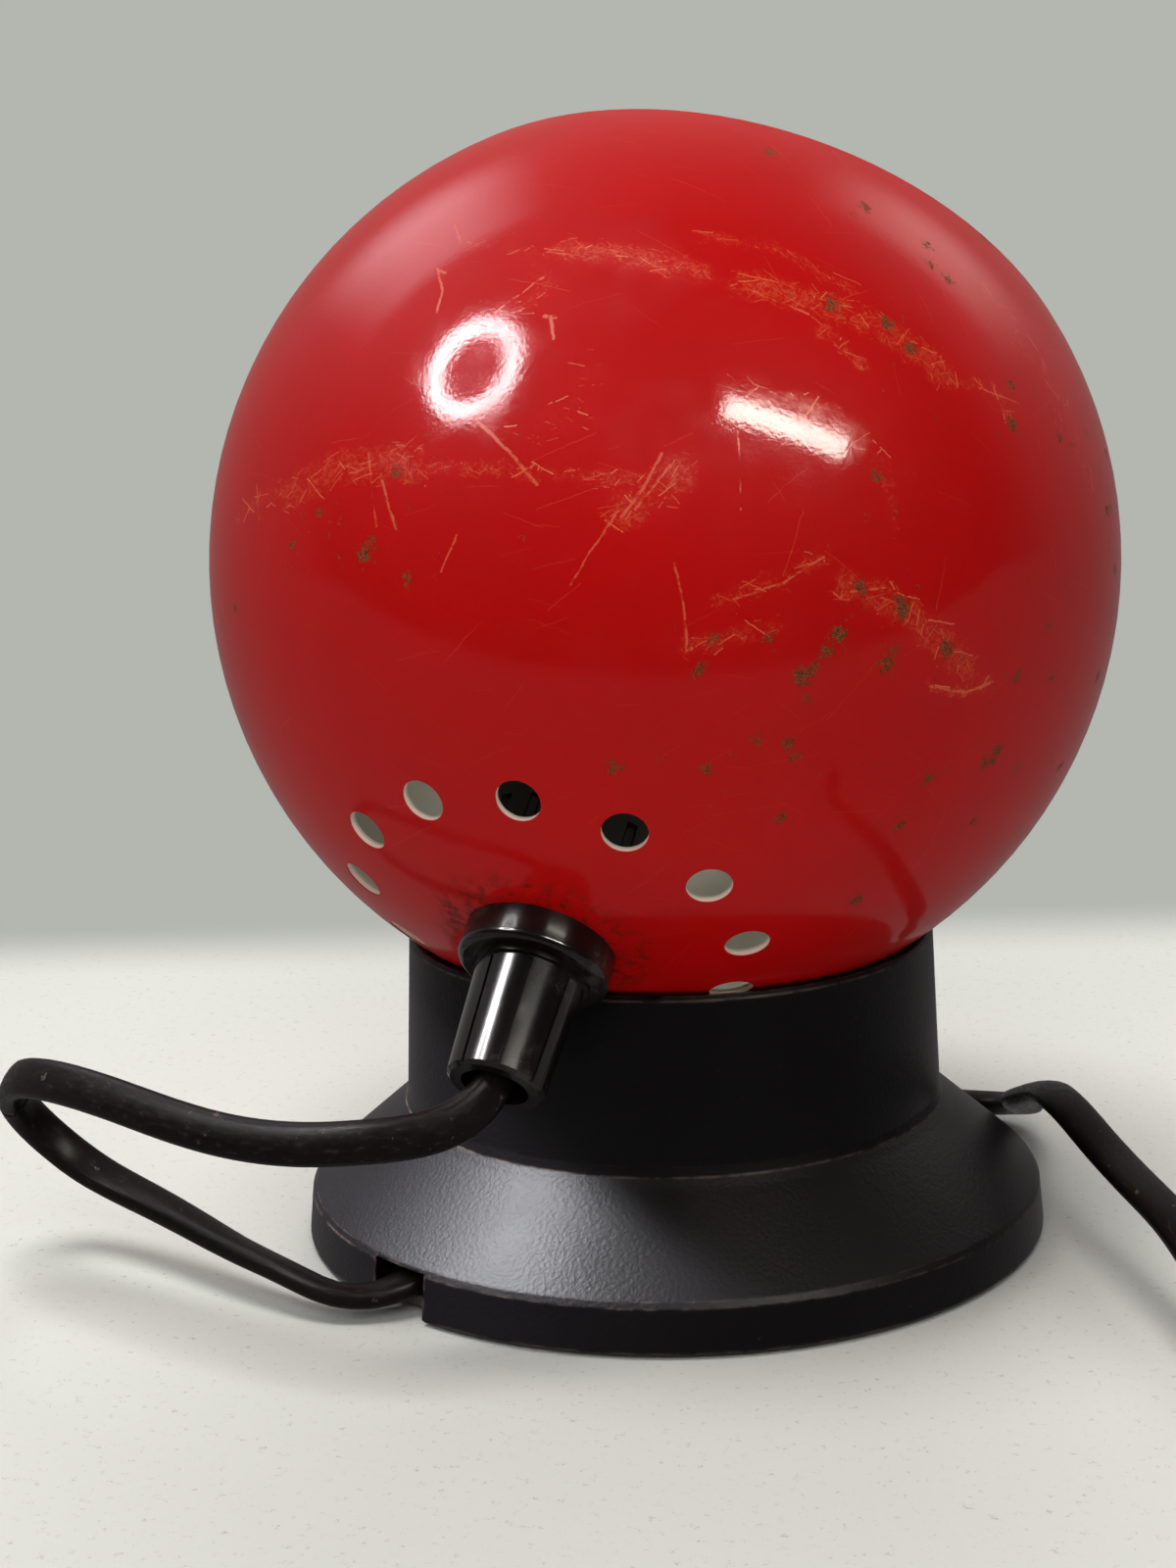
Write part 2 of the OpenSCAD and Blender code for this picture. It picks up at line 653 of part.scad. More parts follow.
module cord_coil() {
    bundle_w = coil_turns * (cord_t + 0.2);
    bundle_h = 2 * (cord_w + 0.1);
    corner = 1.5;
    cord_colour() translate(COIL_AT) rotate_extrude() translate([coil_d / 2 - bundle_w / 2, 0])
        union() {
            translate([corner, 0]) square([bundle_w - 2 * corner, bundle_h]);
            translate([0, corner]) square([bundle_w, bundle_h - 2 * corner]);
            for (x = [corner, bundle_w - corner]) for (z = [corner, bundle_h - corner])
                translate([x, z]) circle(r = corner, $fn = 24);
        }
}

// ---------- In-line switch ----------

split_z = 9;
rocker_len = 15;
rocker_w = 9;
pivot_r = 1.5;
screw_inset = 12;
pivot_z = switch_h - 2.6;

module at_switch() {
    translate(SWITCH_AT) children();
}

// Plan of the switch: rounded ends around the cord's two entries
module switch_plan() {
    end_r = 7;
    for (x = [-1, 1]) for (y = [-1, 1])
        translate([x * (switch_len / 2 - end_r), y * (switch_w / 2 - end_r)]) circle(r = end_r);
    square([switch_len - 2 * end_r, switch_w], center = true);
    square([switch_len, switch_w - 2 * end_r], center = true);
}

// Side view of the switch: a flat back and a top that falls to the ends
module switch_side() {
    polygon([[-switch_len / 2, 1], [-switch_len / 2 + 1, 0], [switch_len / 2 - 1, 0],
        [switch_len / 2, 1], [switch_len / 2, switch_h - 5], [switch_len / 2 - 9, switch_h - 0.6],
        [9, switch_h], [-9, switch_h], [-switch_len / 2 + 9, switch_h - 0.6],
        [-switch_len / 2, switch_h - 5]]);
}

module switch_block() {
    intersection() {
        linear_extrude(switch_h) switch_plan();
        rotate([90, 0, 0]) linear_extrude(switch_w + 2, center = true) switch_side();
    }
}

module rocker_well(play) {
    translate([-rocker_len / 2 - play, -rocker_w / 2 - play, split_z - 3])
        cube([rocker_len + 2 * play, rocker_w + 2 * play, switch_h]);
}

module switch_lower() {
    color([0.1, 0.1, 0.1]) at_switch() difference() {
        switch_block();
        translate([-switch_len, -switch_w, split_z]) cube([2 * switch_len, 2 * switch_w, switch_h]);
        rocker_well(0.6);
        switch_screw_places() translate([0, 0, -1]) cylinder(h = 2.6, r = 2.4);
        switch_screw_places() translate([0, 0, -1]) cylinder(h = split_z + 2, r = 1.2 + fit);
    }
}

module switch_upper() {
    color([0.1, 0.1, 0.1]) at_switch() difference() {
        switch_block();
        translate([-switch_len, -switch_w, -1]) cube([2 * switch_len, 2 * switch_w, split_z + 1]);
        rocker_well(0.6);
        rotate([90, 0, 0]) translate([0, pivot_z, 0])
            cylinder(h = rocker_w + 5, r = pivot_r + fit, center = true);
        switch_screw_places() translate([0, 0, split_z - 1]) cylinder(h = 4, r = 1.2 + fit);
    }
}

module switch_screw_places() {
    for (x = [-1, 1]) translate([x * (switch_len / 2 - screw_inset), 0, 0]) children();
}

module switch_screws() {
    color("silver") at_switch() switch_screw_places() {
        difference() {
            translate([0, 0, 0.2]) cylinder(h = 1.4, r = 2.3);
            translate([-3, -0.3, -0.5]) cube([6, 0.6, 1.2]);
        }
        translate([0, 0, 1]) cylinder(h = split_z + 1.6, r = 1.2);
    }
}

// The rocker lies tipped to one side at rest, with a dished top between two raised ends
module switch_rocker() {
    half = rocker_len / 2 - 0.3;
    top = 2.6;
    color([0.75, 0.74, 0.7]) at_switch() translate([0, 0, pivot_z]) rotate([0, rocker_travel / 2, 0]) {
        rotate([90, 0, 0]) {
            difference() {
                linear_extrude(rocker_w, center = true) polygon([[-half, top + 0.9], [-half + 0.8, top + 1.4],
                    [0, top - 0.3], [half - 0.8, top + 1.4], [half, top + 0.9], [half - 1.4, -1.6],
                    [2, -3.2], [-2, -3.2], [-half + 1.4, -1.6]]);
                for (x = [-5.4, -4.2, 4.2, 5.4]) translate([x, top + 1.35, 0])
                    cube([0.4, 1.6, rocker_w - 2], center = true);
            }
            cylinder(h = rocker_w + 4, r = pivot_r, center = true);
        }
    }
}

// ---------- Plug ----------

module plug_plan() {
    tail = plug_w / 3;
    throat = plug_len * 0.22;
    shoulder = plug_len * 0.53;
    polygon([[0, -tail / 2], [throat, -tail / 2], [shoulder - 2, -plug_w / 2 + 2], [shoulder, -plug_w / 2],
        [plug_len - 1, -plug_w / 2], [plug_len, -plug_w / 2 + 1], [plug_len, plug_w / 2 - 1],
        [plug_len - 1, plug_w / 2], [shoulder, plug_w / 2], [shoulder - 2, plug_w / 2 - 2],
        [throat, tail / 2], [0, tail / 2]]);
}

module plug_side() {
    chamfer = 1.6;
    polygon([[-1, -plug_h / 2 + chamfer + 1], [plug_len / 3, -plug_h / 2], [plug_len + 1, -plug_h / 2],
        [plug_len + 1, plug_h / 2], [plug_len / 3, plug_h / 2], [-1, plug_h / 2 - chamfer - 1]]);
}

module plug_body() {
    ribs = 5;
    color([0.1, 0.1, 0.1]) translate(PLUG_AT) difference() {
        union() {
            translate([sleeve_len, 0, 0]) intersection() {
                linear_extrude(plug_h, center = true) plug_plan();
                rotate([90, 0, 0]) linear_extrude(plug_w + 2, center = true) plug_side();
            }
            rotate([0, 90, 0]) cylinder(h = sleeve_len + 2, d1 = cord_w + 2, d2 = sleeve_d);
            for (i = [1:ribs]) translate([sleeve_len * i / (ribs + 1), 0, 0]) rotate([0, 90, 0])
                cylinder(h = 1.6, d = cord_w + 2.6 + i * (sleeve_d - cord_w - 2) / ribs, center = true);
        }
        for (side = [-1, 1]) translate([sleeve_len + plug_len - shank_len, side * pin_pitch / 2, 0])
            rotate([0, 90, 0]) cylinder(h = shank_len + 1, r = shank_d / 2 + fit);
    }
}

module plug_pins() {
    color("silver") translate(PLUG_AT) for (side = [-1, 1])
        translate([sleeve_len + plug_len, side * pin_pitch / 2, 0]) rotate([0, 90, 0]) {
            translate([0, 0, -shank_len]) cylinder(h = shank_len + eps, d = shank_d);
            cylinder(h = pin_len - pin_d / 2, d = pin_d);
            translate([0, 0, pin_len - pin_d / 2]) sphere(d = pin_d);
        }
}

ball_shade();
grip_collar();
cord_grip();
toothed_washer();
holder_cap();
holder_skirt();
contact_insert();
screw_shell();
centre_contact();
terminal_screws();
holder_cord();
bulb_globe();
bulb_cap();
bulb_insulator();
bulb_contact();
seat_ring();
base_shell();
ballast();
magnet_pot();
ring_magnet();
magnet_screw();
bottom_cover();
cover_screws();
foot_pads();
cord_clamp();
clamp_screws();
base_cord();
loop_cord_upper();
loop_cord_lower();
lead_to_switch();
lead_to_coil();
lead_to_plug();
cord_coil();
switch_lower();
switch_upper();
switch_rocker();
switch_screws();
plug_body();
plug_pins();
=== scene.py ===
"""Looks of the ball table lamp. Metres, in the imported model's frame: +Z up, the lamp is aimed towards -Y."""

import math

import bpy
import numpy as np
from mathutils import Matrix, Vector


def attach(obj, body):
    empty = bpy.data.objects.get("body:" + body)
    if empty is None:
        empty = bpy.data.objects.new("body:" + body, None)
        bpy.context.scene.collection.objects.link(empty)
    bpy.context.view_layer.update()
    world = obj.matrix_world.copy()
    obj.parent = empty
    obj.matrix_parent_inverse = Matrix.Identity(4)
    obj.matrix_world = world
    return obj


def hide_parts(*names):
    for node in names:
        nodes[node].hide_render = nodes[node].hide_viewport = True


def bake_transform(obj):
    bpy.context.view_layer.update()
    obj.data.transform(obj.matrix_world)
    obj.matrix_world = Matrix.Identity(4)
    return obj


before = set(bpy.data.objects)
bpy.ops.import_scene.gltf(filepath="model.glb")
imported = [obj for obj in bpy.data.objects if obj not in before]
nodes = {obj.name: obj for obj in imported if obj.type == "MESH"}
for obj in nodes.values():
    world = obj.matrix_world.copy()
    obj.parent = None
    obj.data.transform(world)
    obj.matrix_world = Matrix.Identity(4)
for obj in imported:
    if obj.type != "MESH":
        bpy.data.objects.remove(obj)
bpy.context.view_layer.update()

# ---------------------------------------------------------------- camera
# Fitted by least squares to the photograph's outlines; the lens was chosen, since the fit left it open.
CAM_AT = Vector((-0.135589, 0.337912, 0.139005))
CAM_RIGHT = Vector((-0.918495, -0.394639, -0.025055))
CAM_UP = Vector((0.059778, -0.201203, 0.977724))
CAM_FORWARD = Vector((0.390889, -0.896537, -0.208395))
LENS = 63.0
SENSOR = 36
PHOTO_W, PHOTO_H = 1200, 1600
BALL_AT = Vector((0, 0, 0.0910726))
BALL_R = 0.060
AIM = Vector((0, -0.71934, 0.694658))

camera = bpy.data.objects.new("camera", bpy.data.cameras.new("camera"))
bpy.context.collection.objects.link(camera)
camera.matrix_world = Matrix(
    [[CAM_RIGHT[i], CAM_UP[i], -CAM_FORWARD[i], CAM_AT[i]] for i in range(3)] + [[0, 0, 0, 1]]
)
camera.data.sensor_width = SENSOR
camera.data.lens = LENS
camera.data.clip_start = 0.01
camera.data.dof.use_dof = False
bpy.context.scene.camera = camera
bpy.context.scene.view_settings.view_transform = "Standard"


def on_ball(x, y):
    """Direction from the ball's centre to what the photograph shows at this pixel of 1200 x 1600."""
    f = LENS / SENSOR * PHOTO_H
    ray = (CAM_RIGHT * (x - PHOTO_W / 2) / f - CAM_UP * (y - PHOTO_H / 2) / f + CAM_FORWARD).normalized()
    to = CAM_AT - BALL_AT
    b = ray.dot(to)
    inside = b * b - (to.length_squared - BALL_R * BALL_R)
    reach = -b - math.sqrt(max(inside, 0))
    return (CAM_AT + ray * reach - BALL_AT).normalized()


# ---------------------------------------------------------------- cords
CORD_W, CORD_T = 0.0054, 0.0032
CORD_SIDES = 20
# X, Y, Z of the cord's middle in mm and the roll of its wide side in degrees, as in part.scad.
# The points of the loop and of the visible lead came from a least-squares fit to the photograph,
# rounded to half a millimetre and partly changed. The other points were given.
ROUTE = [(0, 52.8, 40.1, 90), (0, 57, 36, 94), (2, 61, 33, 100), (6.5, 64.5, 31.5, 106),
    (12.5, 67, 31, 109), (20, 68, 30, 111), (29, 67.5, 29.5, 114), (38.5, 66, 30, 117),
    (48.5, 63.5, 31, 120), (58, 61, 31.5, 122), (66, 57.5, 30.5, 124), (72, 53, 28, 126),
    (75.5, 48.5, 24, 120), (76.5, 44, 19.5, 90), (73.5, 41, 14.5, 46), (68, 40.5, 11, 20),
    (60, 41.5, 9, 6), (51.5, 44, 7.5, -6), (43, 47, 6, -16), (34, 49.5, 5, -24),
    (27, 50.5, 3, -18), (22, 48, 2.8, -8), (19, 45.5, 4, 0), (17, 40, 5, 0), (8.5, 20, 5, 0),
    (0, 0, 5, 0), (-8.5, -20, 5, 0), (-17, -40, 5, 0), (-19, -45.5, 4.5, 0),
    (-23.5, -50.5, 2.7, 0), (-29.5, -52.5, 2.3, 0), (-35, -51, 3.2, 0), (-38.5, -46.5, 5, 0),
    (-39, -41, 7, 0), (-39.5, -36, 9.2, 0), (-43, -30.5, 12, 0), (-47, -23, 15.5, 2),
    (-50, -15.5, 17.5, 4), (-54, -9.5, 17.5, 6), (-58.5, -3.5, 16, 6), (-63, 2.5, 15, 6),
    (-67.5, 10, 15, 6), (-73.5, 18.5, 14.5, 5), (-79.5, 28.5, 12.5, 4), (-85.5, 39, 9, 3),
    (-91.5, 49, 5, 2), (-97.5, 57, 3, 1), (-103, 62.4, 3.2, 0), (-108, 64.8, 5.1, 0),
    (-111.9, 65, 5.5, 0)]
LEAD_BACK = [(-166.1, 65, 5.5, 0), (-169, 64.9, 5.3, 5), (-173, 62.6, 4.6, 28),
    (-176.4, 58, 3.7, 55), (-178, 51.5, 3, 76), (-178.2, 44, 2.8, 88), (-178.2, 35, 2.8, 90),
    (-178.1, 25, 2.8, 90), (-178, 16, 2.8, 90), (-178, 8, 2.8, 90)]
LEAD_END = [(-178, 8, 8.3, 90), (-178.2, -1, 7.6, 88), (-178, -12, 5, 76),
    (-177.5, -24, 3.2, 50), (-176.5, -36, 2.3, 22), (-174, -47, 2, 8), (-169.5, -56, 2, 2),
    (-163, -63, 2.6, 0), (-155, -67, 4.5, 0), (-147, -68.1, 6.5, 0), (-142.5, -68.2, 6.9, 0),
    (-139.1, -68.2, 6.9, 0)]
LOOP_TURN, LOOP_END, LEAD_START = 12, 23, 27
COIL_AT, COIL_R, COIL_PITCH, COIL_TURNS = (-140, 8), 38, 3.4, 4
COIL_LOW, COIL_HIGH = 2.8, 8.3


def spline(points, step):
    """Even points of the clamped cubic B-spline on these control points: x, y, z, roll and knot."""
    p = np.array(points, float)
    p = np.vstack([2 * p[0] - p[1], p, 2 * p[-1] - p[-2]])
    rows = []
    for i in range(len(p) - 3):
        for u in np.arange(0, 1, 1 / 24):
            w = np.array([(1 - u) ** 3, 3 * u**3 - 6 * u**2 + 4, -3 * u**3 + 3 * u**2 + 3 * u + 1, u**3]) / 6
            rows.append(np.append(w @ p[i:i + 4], i + u))
    rows.append(np.append(p[-2], len(p) - 3))
    rows = np.array(rows)
    along = np.append(0, np.cumsum(np.linalg.norm(np.diff(rows[:, :3], axis=0), axis=1)))
    even = np.linspace(0, along[-1], max(int(round(along[-1] / step)), 2) + 1)
    return np.array([np.interp(even, along, rows[:, k]) for k in range(5)]).T


def coil():
    """The wound length: one layer in towards the middle, a climb, and one layer out above it."""
    per_turn = 56
    rows = []
    climb = 0.3
    for k in range(1, int((2 * COIL_TURNS) * per_turn)):
        t = k / per_turn
        inward = min(t, COIL_TURNS)
        outward = max(t - COIL_TURNS, 0)
        r = COIL_R - COIL_PITCH * inward + COIL_PITCH * outward
        up = min(outward / climb, 1)
        z = COIL_LOW + (COIL_HIGH - COIL_LOW) * up * up * (3 - 2 * up)
        a = math.pi + 2 * math.pi * t
        rows.append((COIL_AT[0] + r * math.cos(a), COIL_AT[1] + r * math.sin(a), z, 90, t))
    return np.array(rows)


def sweep(name, rows):
    """A flat cord with round edges along these rows, with UV running round it and along it in metres."""
    at = rows[:, :3] / 1000
    n = len(at)
    ahead = np.vstack([at[1:2] - at[0:1], at[2:] - at[:-2], at[-1:] - at[-2:-1]])
    ahead /= np.linalg.norm(ahead, axis=1)[:, None]
    side = np.cross([0, 0, 1], ahead)
    side /= np.linalg.norm(side, axis=1)[:, None]
    up = np.cross(ahead, side)
    roll = np.radians(rows[:, 3])[:, None]
    wide = side * np.cos(roll) + up * np.sin(roll)
    thin = np.cross(ahead, wide)
    along = np.append(0, np.cumsum(np.linalg.norm(np.diff(at, axis=0), axis=1)))
    verts, faces, uvs = [], [], []
    flat = (CORD_W - CORD_T) / 2
    for i in range(n):
        for k in range(CORD_SIDES):
            a = 2 * math.pi * (k + 0.5) / CORD_SIDES
            x = CORD_T / 2 * math.cos(a) + math.copysign(flat, math.cos(a)) * min(1, abs(math.cos(a)) * 1.6)
            verts.append(at[i] + wide[i] * x + thin[i] * CORD_T / 2 * math.sin(a))
    for i in range(n - 1):
        for k in range(CORD_SIDES):
            j = (k + 1) % CORD_SIDES
            here, there = i * CORD_SIDES, (i + 1) * CORD_SIDES
            faces.append((here + k, there + k, there + j, here + j))
            u, next_u = k / CORD_SIDES, (k + 1) / CORD_SIDES
            uvs += [(u, along[i]), (u, along[i + 1]), (next_u, along[i + 1]), (next_u, along[i])]
    faces.append(tuple(range(CORD_SIDES)))
    faces.append(tuple(range(n * CORD_SIDES - 1, (n - 1) * CORD_SIDES - 1, -1)))
    uvs += [(0.5, 0)] * (2 * CORD_SIDES)
    mesh = bpy.data.meshes.new(name)
    mesh.from_pydata([tuple(v) for v in verts], [], faces)
    layer = mesh.uv_layers.new(name="cord")
    layer.data.foreach_set("uv", np.array(uvs, np.float32).ravel())
    mesh.polygons.foreach_set("use_smooth", [len(f) == 4 for f in faces])
    mesh.update()
    obj = bpy.data.objects.new(name, mesh)
    bpy.context.collection.objects.link(obj)
    path = [tuple(p) for p in at]
    return obj, path, float(along[-1])


def part_of(rows, start, end):
    """The rows between two knots of the route, with both ends on the knots themselves."""
    inner = rows[(rows[:, 4] > start + 0.02) & (rows[:, 4] < end - 0.02)]
    ends = [np.array([np.interp(t, rows[:, 4], rows[:, k]) for k in range(5)]) for t in (start, end)]
    return np.vstack([ends[0], inner, ends[1]])


# the clamped spline's ends are pinned to the first and last point, and its knots count the route's points
whole = spline(ROUTE, 1.0)
upper_rows = part_of(whole, 0, LOOP_TURN)
lower_rows = part_of(whole, LOOP_TURN, LOOP_END)
lead_rows = part_of(whole, LEAD_START, len(ROUTE) - 1)
back_rows = spline(LEAD_BACK, 1.6)
end_rows = spline(LEAD_END, 1.6)
tail_rows = np.vstack([back_rows, coil(), end_rows])

upper, upper_path, upper_length = sweep("loop_upper", upper_rows)
lower, lower_path, lower_length = sweep("loop_lower", lower_rows)
lead, lead_path, lead_length = sweep("lead_to_switch_visual", lead_rows)
tail, tail_path, tail_length = sweep("lead_coil_plug_visual", tail_rows)

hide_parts("loop_cord_upper")
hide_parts("loop_cord_lower")
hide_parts("lead_to_switch")
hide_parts("lead_to_coil", "cord_coil", "lead_to_plug")
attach(lead, "base")
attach(tail, "base")
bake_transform(upper)
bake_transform(lower)
SWITCH = ["switch_lower", "switch_upper", "switch_rocker", "switch_screws"]


# ---------------------------------------------------------------- materials
ENAMEL_COAT = 0.42
GRAIN_DEPTH = 0.00004


def srgb(r, g, b):
    """A colour given in 0-255 as on a screen, as linear light."""
    return tuple(c / 12.92 if c <= 0.04045 else ((c + 0.055) / 1.055) ** 2.4
                 for c in (r / 255, g / 255, b / 255)) + (1.0,)


class Shader:
    """Short names for the nodes of one material."""

    def __init__(self, name):
        self.material = bpy.data.materials.new(name)
        self.material.use_nodes = True
        self.tree = self.material.node_tree
        self.tree.nodes.clear()
        self.object = self.add("ShaderNodeTexCoord").outputs["Object"]

    def add(self, kind, values=(), **props):
        n = self.tree.nodes.new(kind)
        for k, v in props.items():
            setattr(n, k, v)
        for k, v in dict(values).items():
            self.put(n.inputs[k], v)
        return n

    def put(self, socket, v):
        if isinstance(v, bpy.types.NodeSocket):
            self.tree.links.new(v, socket)
        else:
            socket.default_value = v

    def math(self, op, a, b=0.0, clamp=False):
        return self.add("ShaderNodeMath", {0: a, 1: b}, operation=op, use_clamp=clamp).outputs[0]

    def vector(self, op, a, b=(0, 0, 0), c=(0, 0, 0), out="Vector", scale=1.0):
        return self.add("ShaderNodeVectorMath", {0: a, 1: b, 2: c, 3: scale}, operation=op).outputs[out]

    def map(self, v, a, b, c=0.0, d=1.0, kind="SMOOTHSTEP"):
        return self.add("ShaderNodeMapRange", {0: v, 1: a, 2: b, 3: c, 4: d},
                        interpolation_type=kind).outputs[0]

    def mapping(self, v, scale):
        return self.add("ShaderNodeMapping", {"Vector": v, "Scale": scale}).outputs[0]

    def noise(self, scale, v=None, detail=3.0, rough=0.5, out="Fac"):
        return self.add("ShaderNodeTexNoise", {"Vector": self.object if v is None else v, "Scale": scale,
                                               "Detail": detail, "Roughness": rough}).outputs[out]

    def cells(self, scale):
        return self.add("ShaderNodeTexVoronoi", {"Vector": self.object, "Scale": scale}).outputs["Distance"]

    def mix(self, f, a, b):
        n = self.add("ShaderNodeMix", data_type="RGBA", clamp_factor=True)
        for s, v in (("Factor_Float", f), ("A_Color", a), ("B_Color", b)):
            self.put(next(i for i in n.inputs if i.identifier == s), v)
        return next(o for o in n.outputs if o.identifier == "Result_Color")

    def bump(self, height, strength=1.0, distance=0.0001, normal=None):
        n = self.add("ShaderNodeBump", {"Height": height, "Strength": strength, "Distance": distance})
        if normal is not None:
            self.put(n.inputs["Normal"], normal)
        return n.outputs[0]

    def finish(self, colour, rough=0.5, normal=None, **more):
        n = self.add("ShaderNodeBsdfPrincipled", {"Base Color": colour, "Roughness": rough})
        for k, v in more.items():
            self.put(n.inputs[k.replace("_", " ")], v)
        if normal is not None:
            self.put(n.inputs["Normal"], normal)
            self.put(n.inputs["Coat Normal"], normal)
        out = self.add("ShaderNodeOutputMaterial")
        self.tree.links.new(n.outputs[0], out.inputs[0])
        return self.material


# Wear on the enamel, placed in the photograph's pixels.
# rubbed areas: the line, its width in mm, and how dense the strokes lie
RUBS = [
    ([(570, 254), (650, 263), (718, 277)], 4.4, 0.75), ([(640, 272), (730, 284), (790, 300)], 3.0, 0.35),
    ([(765, 290), (830, 306), (900, 334), (962, 380)], 5.6, 0.85),
    ([(715, 240), (788, 252), (870, 296)], 3.0, 0.40),
    ([(962, 384), (1015, 398), (1032, 432)], 3.0, 0.50), ([(480, 250), (565, 260)], 2.0, 0.30),
    ([(244, 530), (262, 508), (300, 500)], 3.4, 0.45), ([(300, 500), (345, 476), (420, 474)], 6.0, 0.75),
    ([(420, 474), (520, 480), (650, 490)], 2.6, 0.50), ([(638, 522), (690, 484)], 6.0, 0.70),
    ([(735, 612), (800, 590), (842, 566)], 3.6, 0.40), ([(865, 598), (925, 622), (988, 682)], 5.2, 0.80),
    ([(948, 700), (984, 705), (1014, 695)], 2.0, 0.80), ([(770, 398), (850, 418), (880, 450)], 3.6, 0.40),
    ([(500, 440), (570, 430), (600, 380)], 8.0, 0.13), ([(500, 340), (560, 290), (540, 265)], 4.0, 0.25),
    ([(840, 336), (880, 372)], 3.0, 0.60), ([(900, 470), (915, 540)], 3.0, 0.25),
    ([(1010, 300), (1070, 390), (1110, 480)], 7.0, 0.25), ([(700, 660), (790, 640)], 3.0, 0.45),
]
# single scratches: the line and its width in mm
SCRATCHES = [
    ([(476, 247), (570, 259), (640, 262)], 0.16), ([(486, 428), (520, 462), (548, 494)], 0.40),
    ([(447, 276), (451, 297), (446, 318)], 0.30), ([(446, 274), (454, 279)], 0.34),
    ([(505, 319), (555, 283)], 0.20),
    ([(556, 323), (566, 324)], 0.5), ([(562, 326), (564, 345)], 0.36),
    ([(634, 528), (655, 500), (676, 462)], 0.34),
    ([(648, 520), (684, 475)], 0.26), ([(604, 560), (628, 526)], 0.2),
    ([(688, 575), (697, 612), (701, 664)], 0.24),
    ([(753, 441), (756, 520)], 0.14), ([(376, 464), (384, 537)], 0.22), ([(390, 490), (404, 540)], 0.38),
    ([(262, 495), (264, 530)], 0.16), ([(748, 612), (800, 594), (840, 568)], 0.24),
    ([(868, 604), (902, 600)], 0.2),
    ([(949, 700), (985, 706), (1014, 696)], 0.36), ([(768, 297), (826, 321)], 0.2),
    ([(1000, 396), (1040, 412)], 0.2),
    ([(450, 583), (466, 546)], 0.18), ([(582, 596), (612, 548)], 0.12), ([(464, 230), (470, 248)], 0.3),
]
# rust: x, y and size in mm
RUST = [
    (372, 566, 1.9), (380, 552, 1.5), (297, 556, 1.3), (416, 590, 1.5), (326, 524, 1.1), (404, 480, 1.4),
    (820, 690, 2.3), (830, 682, 1.7), (844, 664, 1.8), (857, 647, 2.2), (905, 677, 2.2), (914, 664, 1.3),
    (822, 714, 1.0), (714, 683, 1.8), (728, 654, 1.4), (784, 652, 1.2), (878, 599, 1.8), (922, 622, 2.0),
    (966, 662, 2.0), (804, 758, 1.6), (812, 772, 1.1), (772, 756, 1.4), (722, 786, 1.5), (627, 783, 1.8),
    (948, 794, 1.9), (1018, 765, 1.6), (1004, 779, 1.6), (798, 836, 1.5), (918, 843, 1.4), (992, 838, 1.1),
    (874, 918, 1.9), (1036, 786, 1.1), (848, 310, 2.0), (906, 330, 2.0), (929, 355, 1.9), (1033, 434, 2.0),
    (884, 211, 1.8), (946, 250, 1.4), (968, 285, 1.5), (1004, 243, 1.5), (785, 155, 2.0), (1130, 520, 1.4),
    (1108, 440, 1.2), (1120, 690, 1.4), (1070, 640, 1.2), (368, 892, 3.0), (408, 948, 2.2), (283, 812, 1.2),
    (240, 620, 1.1), (895, 484, 1.3), (1007, 242, 1.3), (949, 269, 1.2), (1033, 393, 1.6), (1082, 447, 1.2),
    (1091, 344, 1.1), (1113, 393, 1.2), (1122, 433, 1.3), (1129, 464, 1.6), (1133, 518, 1.4),
    (1138, 580, 1.4),
    (1038, 691, 1.5), (1073, 691, 1.1), (1011, 776, 1.5), (1020, 765, 1.3), (1055, 858, 1.5),
    (1069, 834, 1.3),
    (1082, 782, 1.6), (1113, 740, 1.4), (993, 838, 1.4), (918, 611, 1.4),
]
MM = 0.001 / BALL_R
# two scratches in the photograph that give the strokes their headings
DOWN_RIGHT, UP_RIGHT = (700, 250, 790, 300), (380, 510, 420, 455)
# where the shade's white inside and its red outside begin, as bands of the distance from its centre
INSIDE, OUTSIDE = (0.05928, 0.05932), (0.05982, 0.05988)


def along(x, y, to_x, to_y):
    """Heading on the ball from one pixel towards another."""
    return tuple((on_ball(to_x, to_y) - on_ball(x, y)).normalized())


def to_line(s, p, line):
    """How far p lies from a line of pixels, in ball radii."""
    nearest = None
    for start, end in zip(line, line[1:]):
        a, b = on_ball(*start), on_ball(*end)
        run = b - a
        t = s.math("SUBTRACT", s.vector("DOT_PRODUCT", p, tuple(run / run.length_squared), out="Value"),
                   a.dot(run) / run.length_squared, clamp=True)
        short = s.vector("SUBTRACT", p, s.vector("SCALE", tuple(run), scale=t))
        gap = s.vector("DISTANCE", short, tuple(a), out="Value")
        nearest = gap if nearest is None else s.math("MINIMUM", nearest, gap)
    return nearest


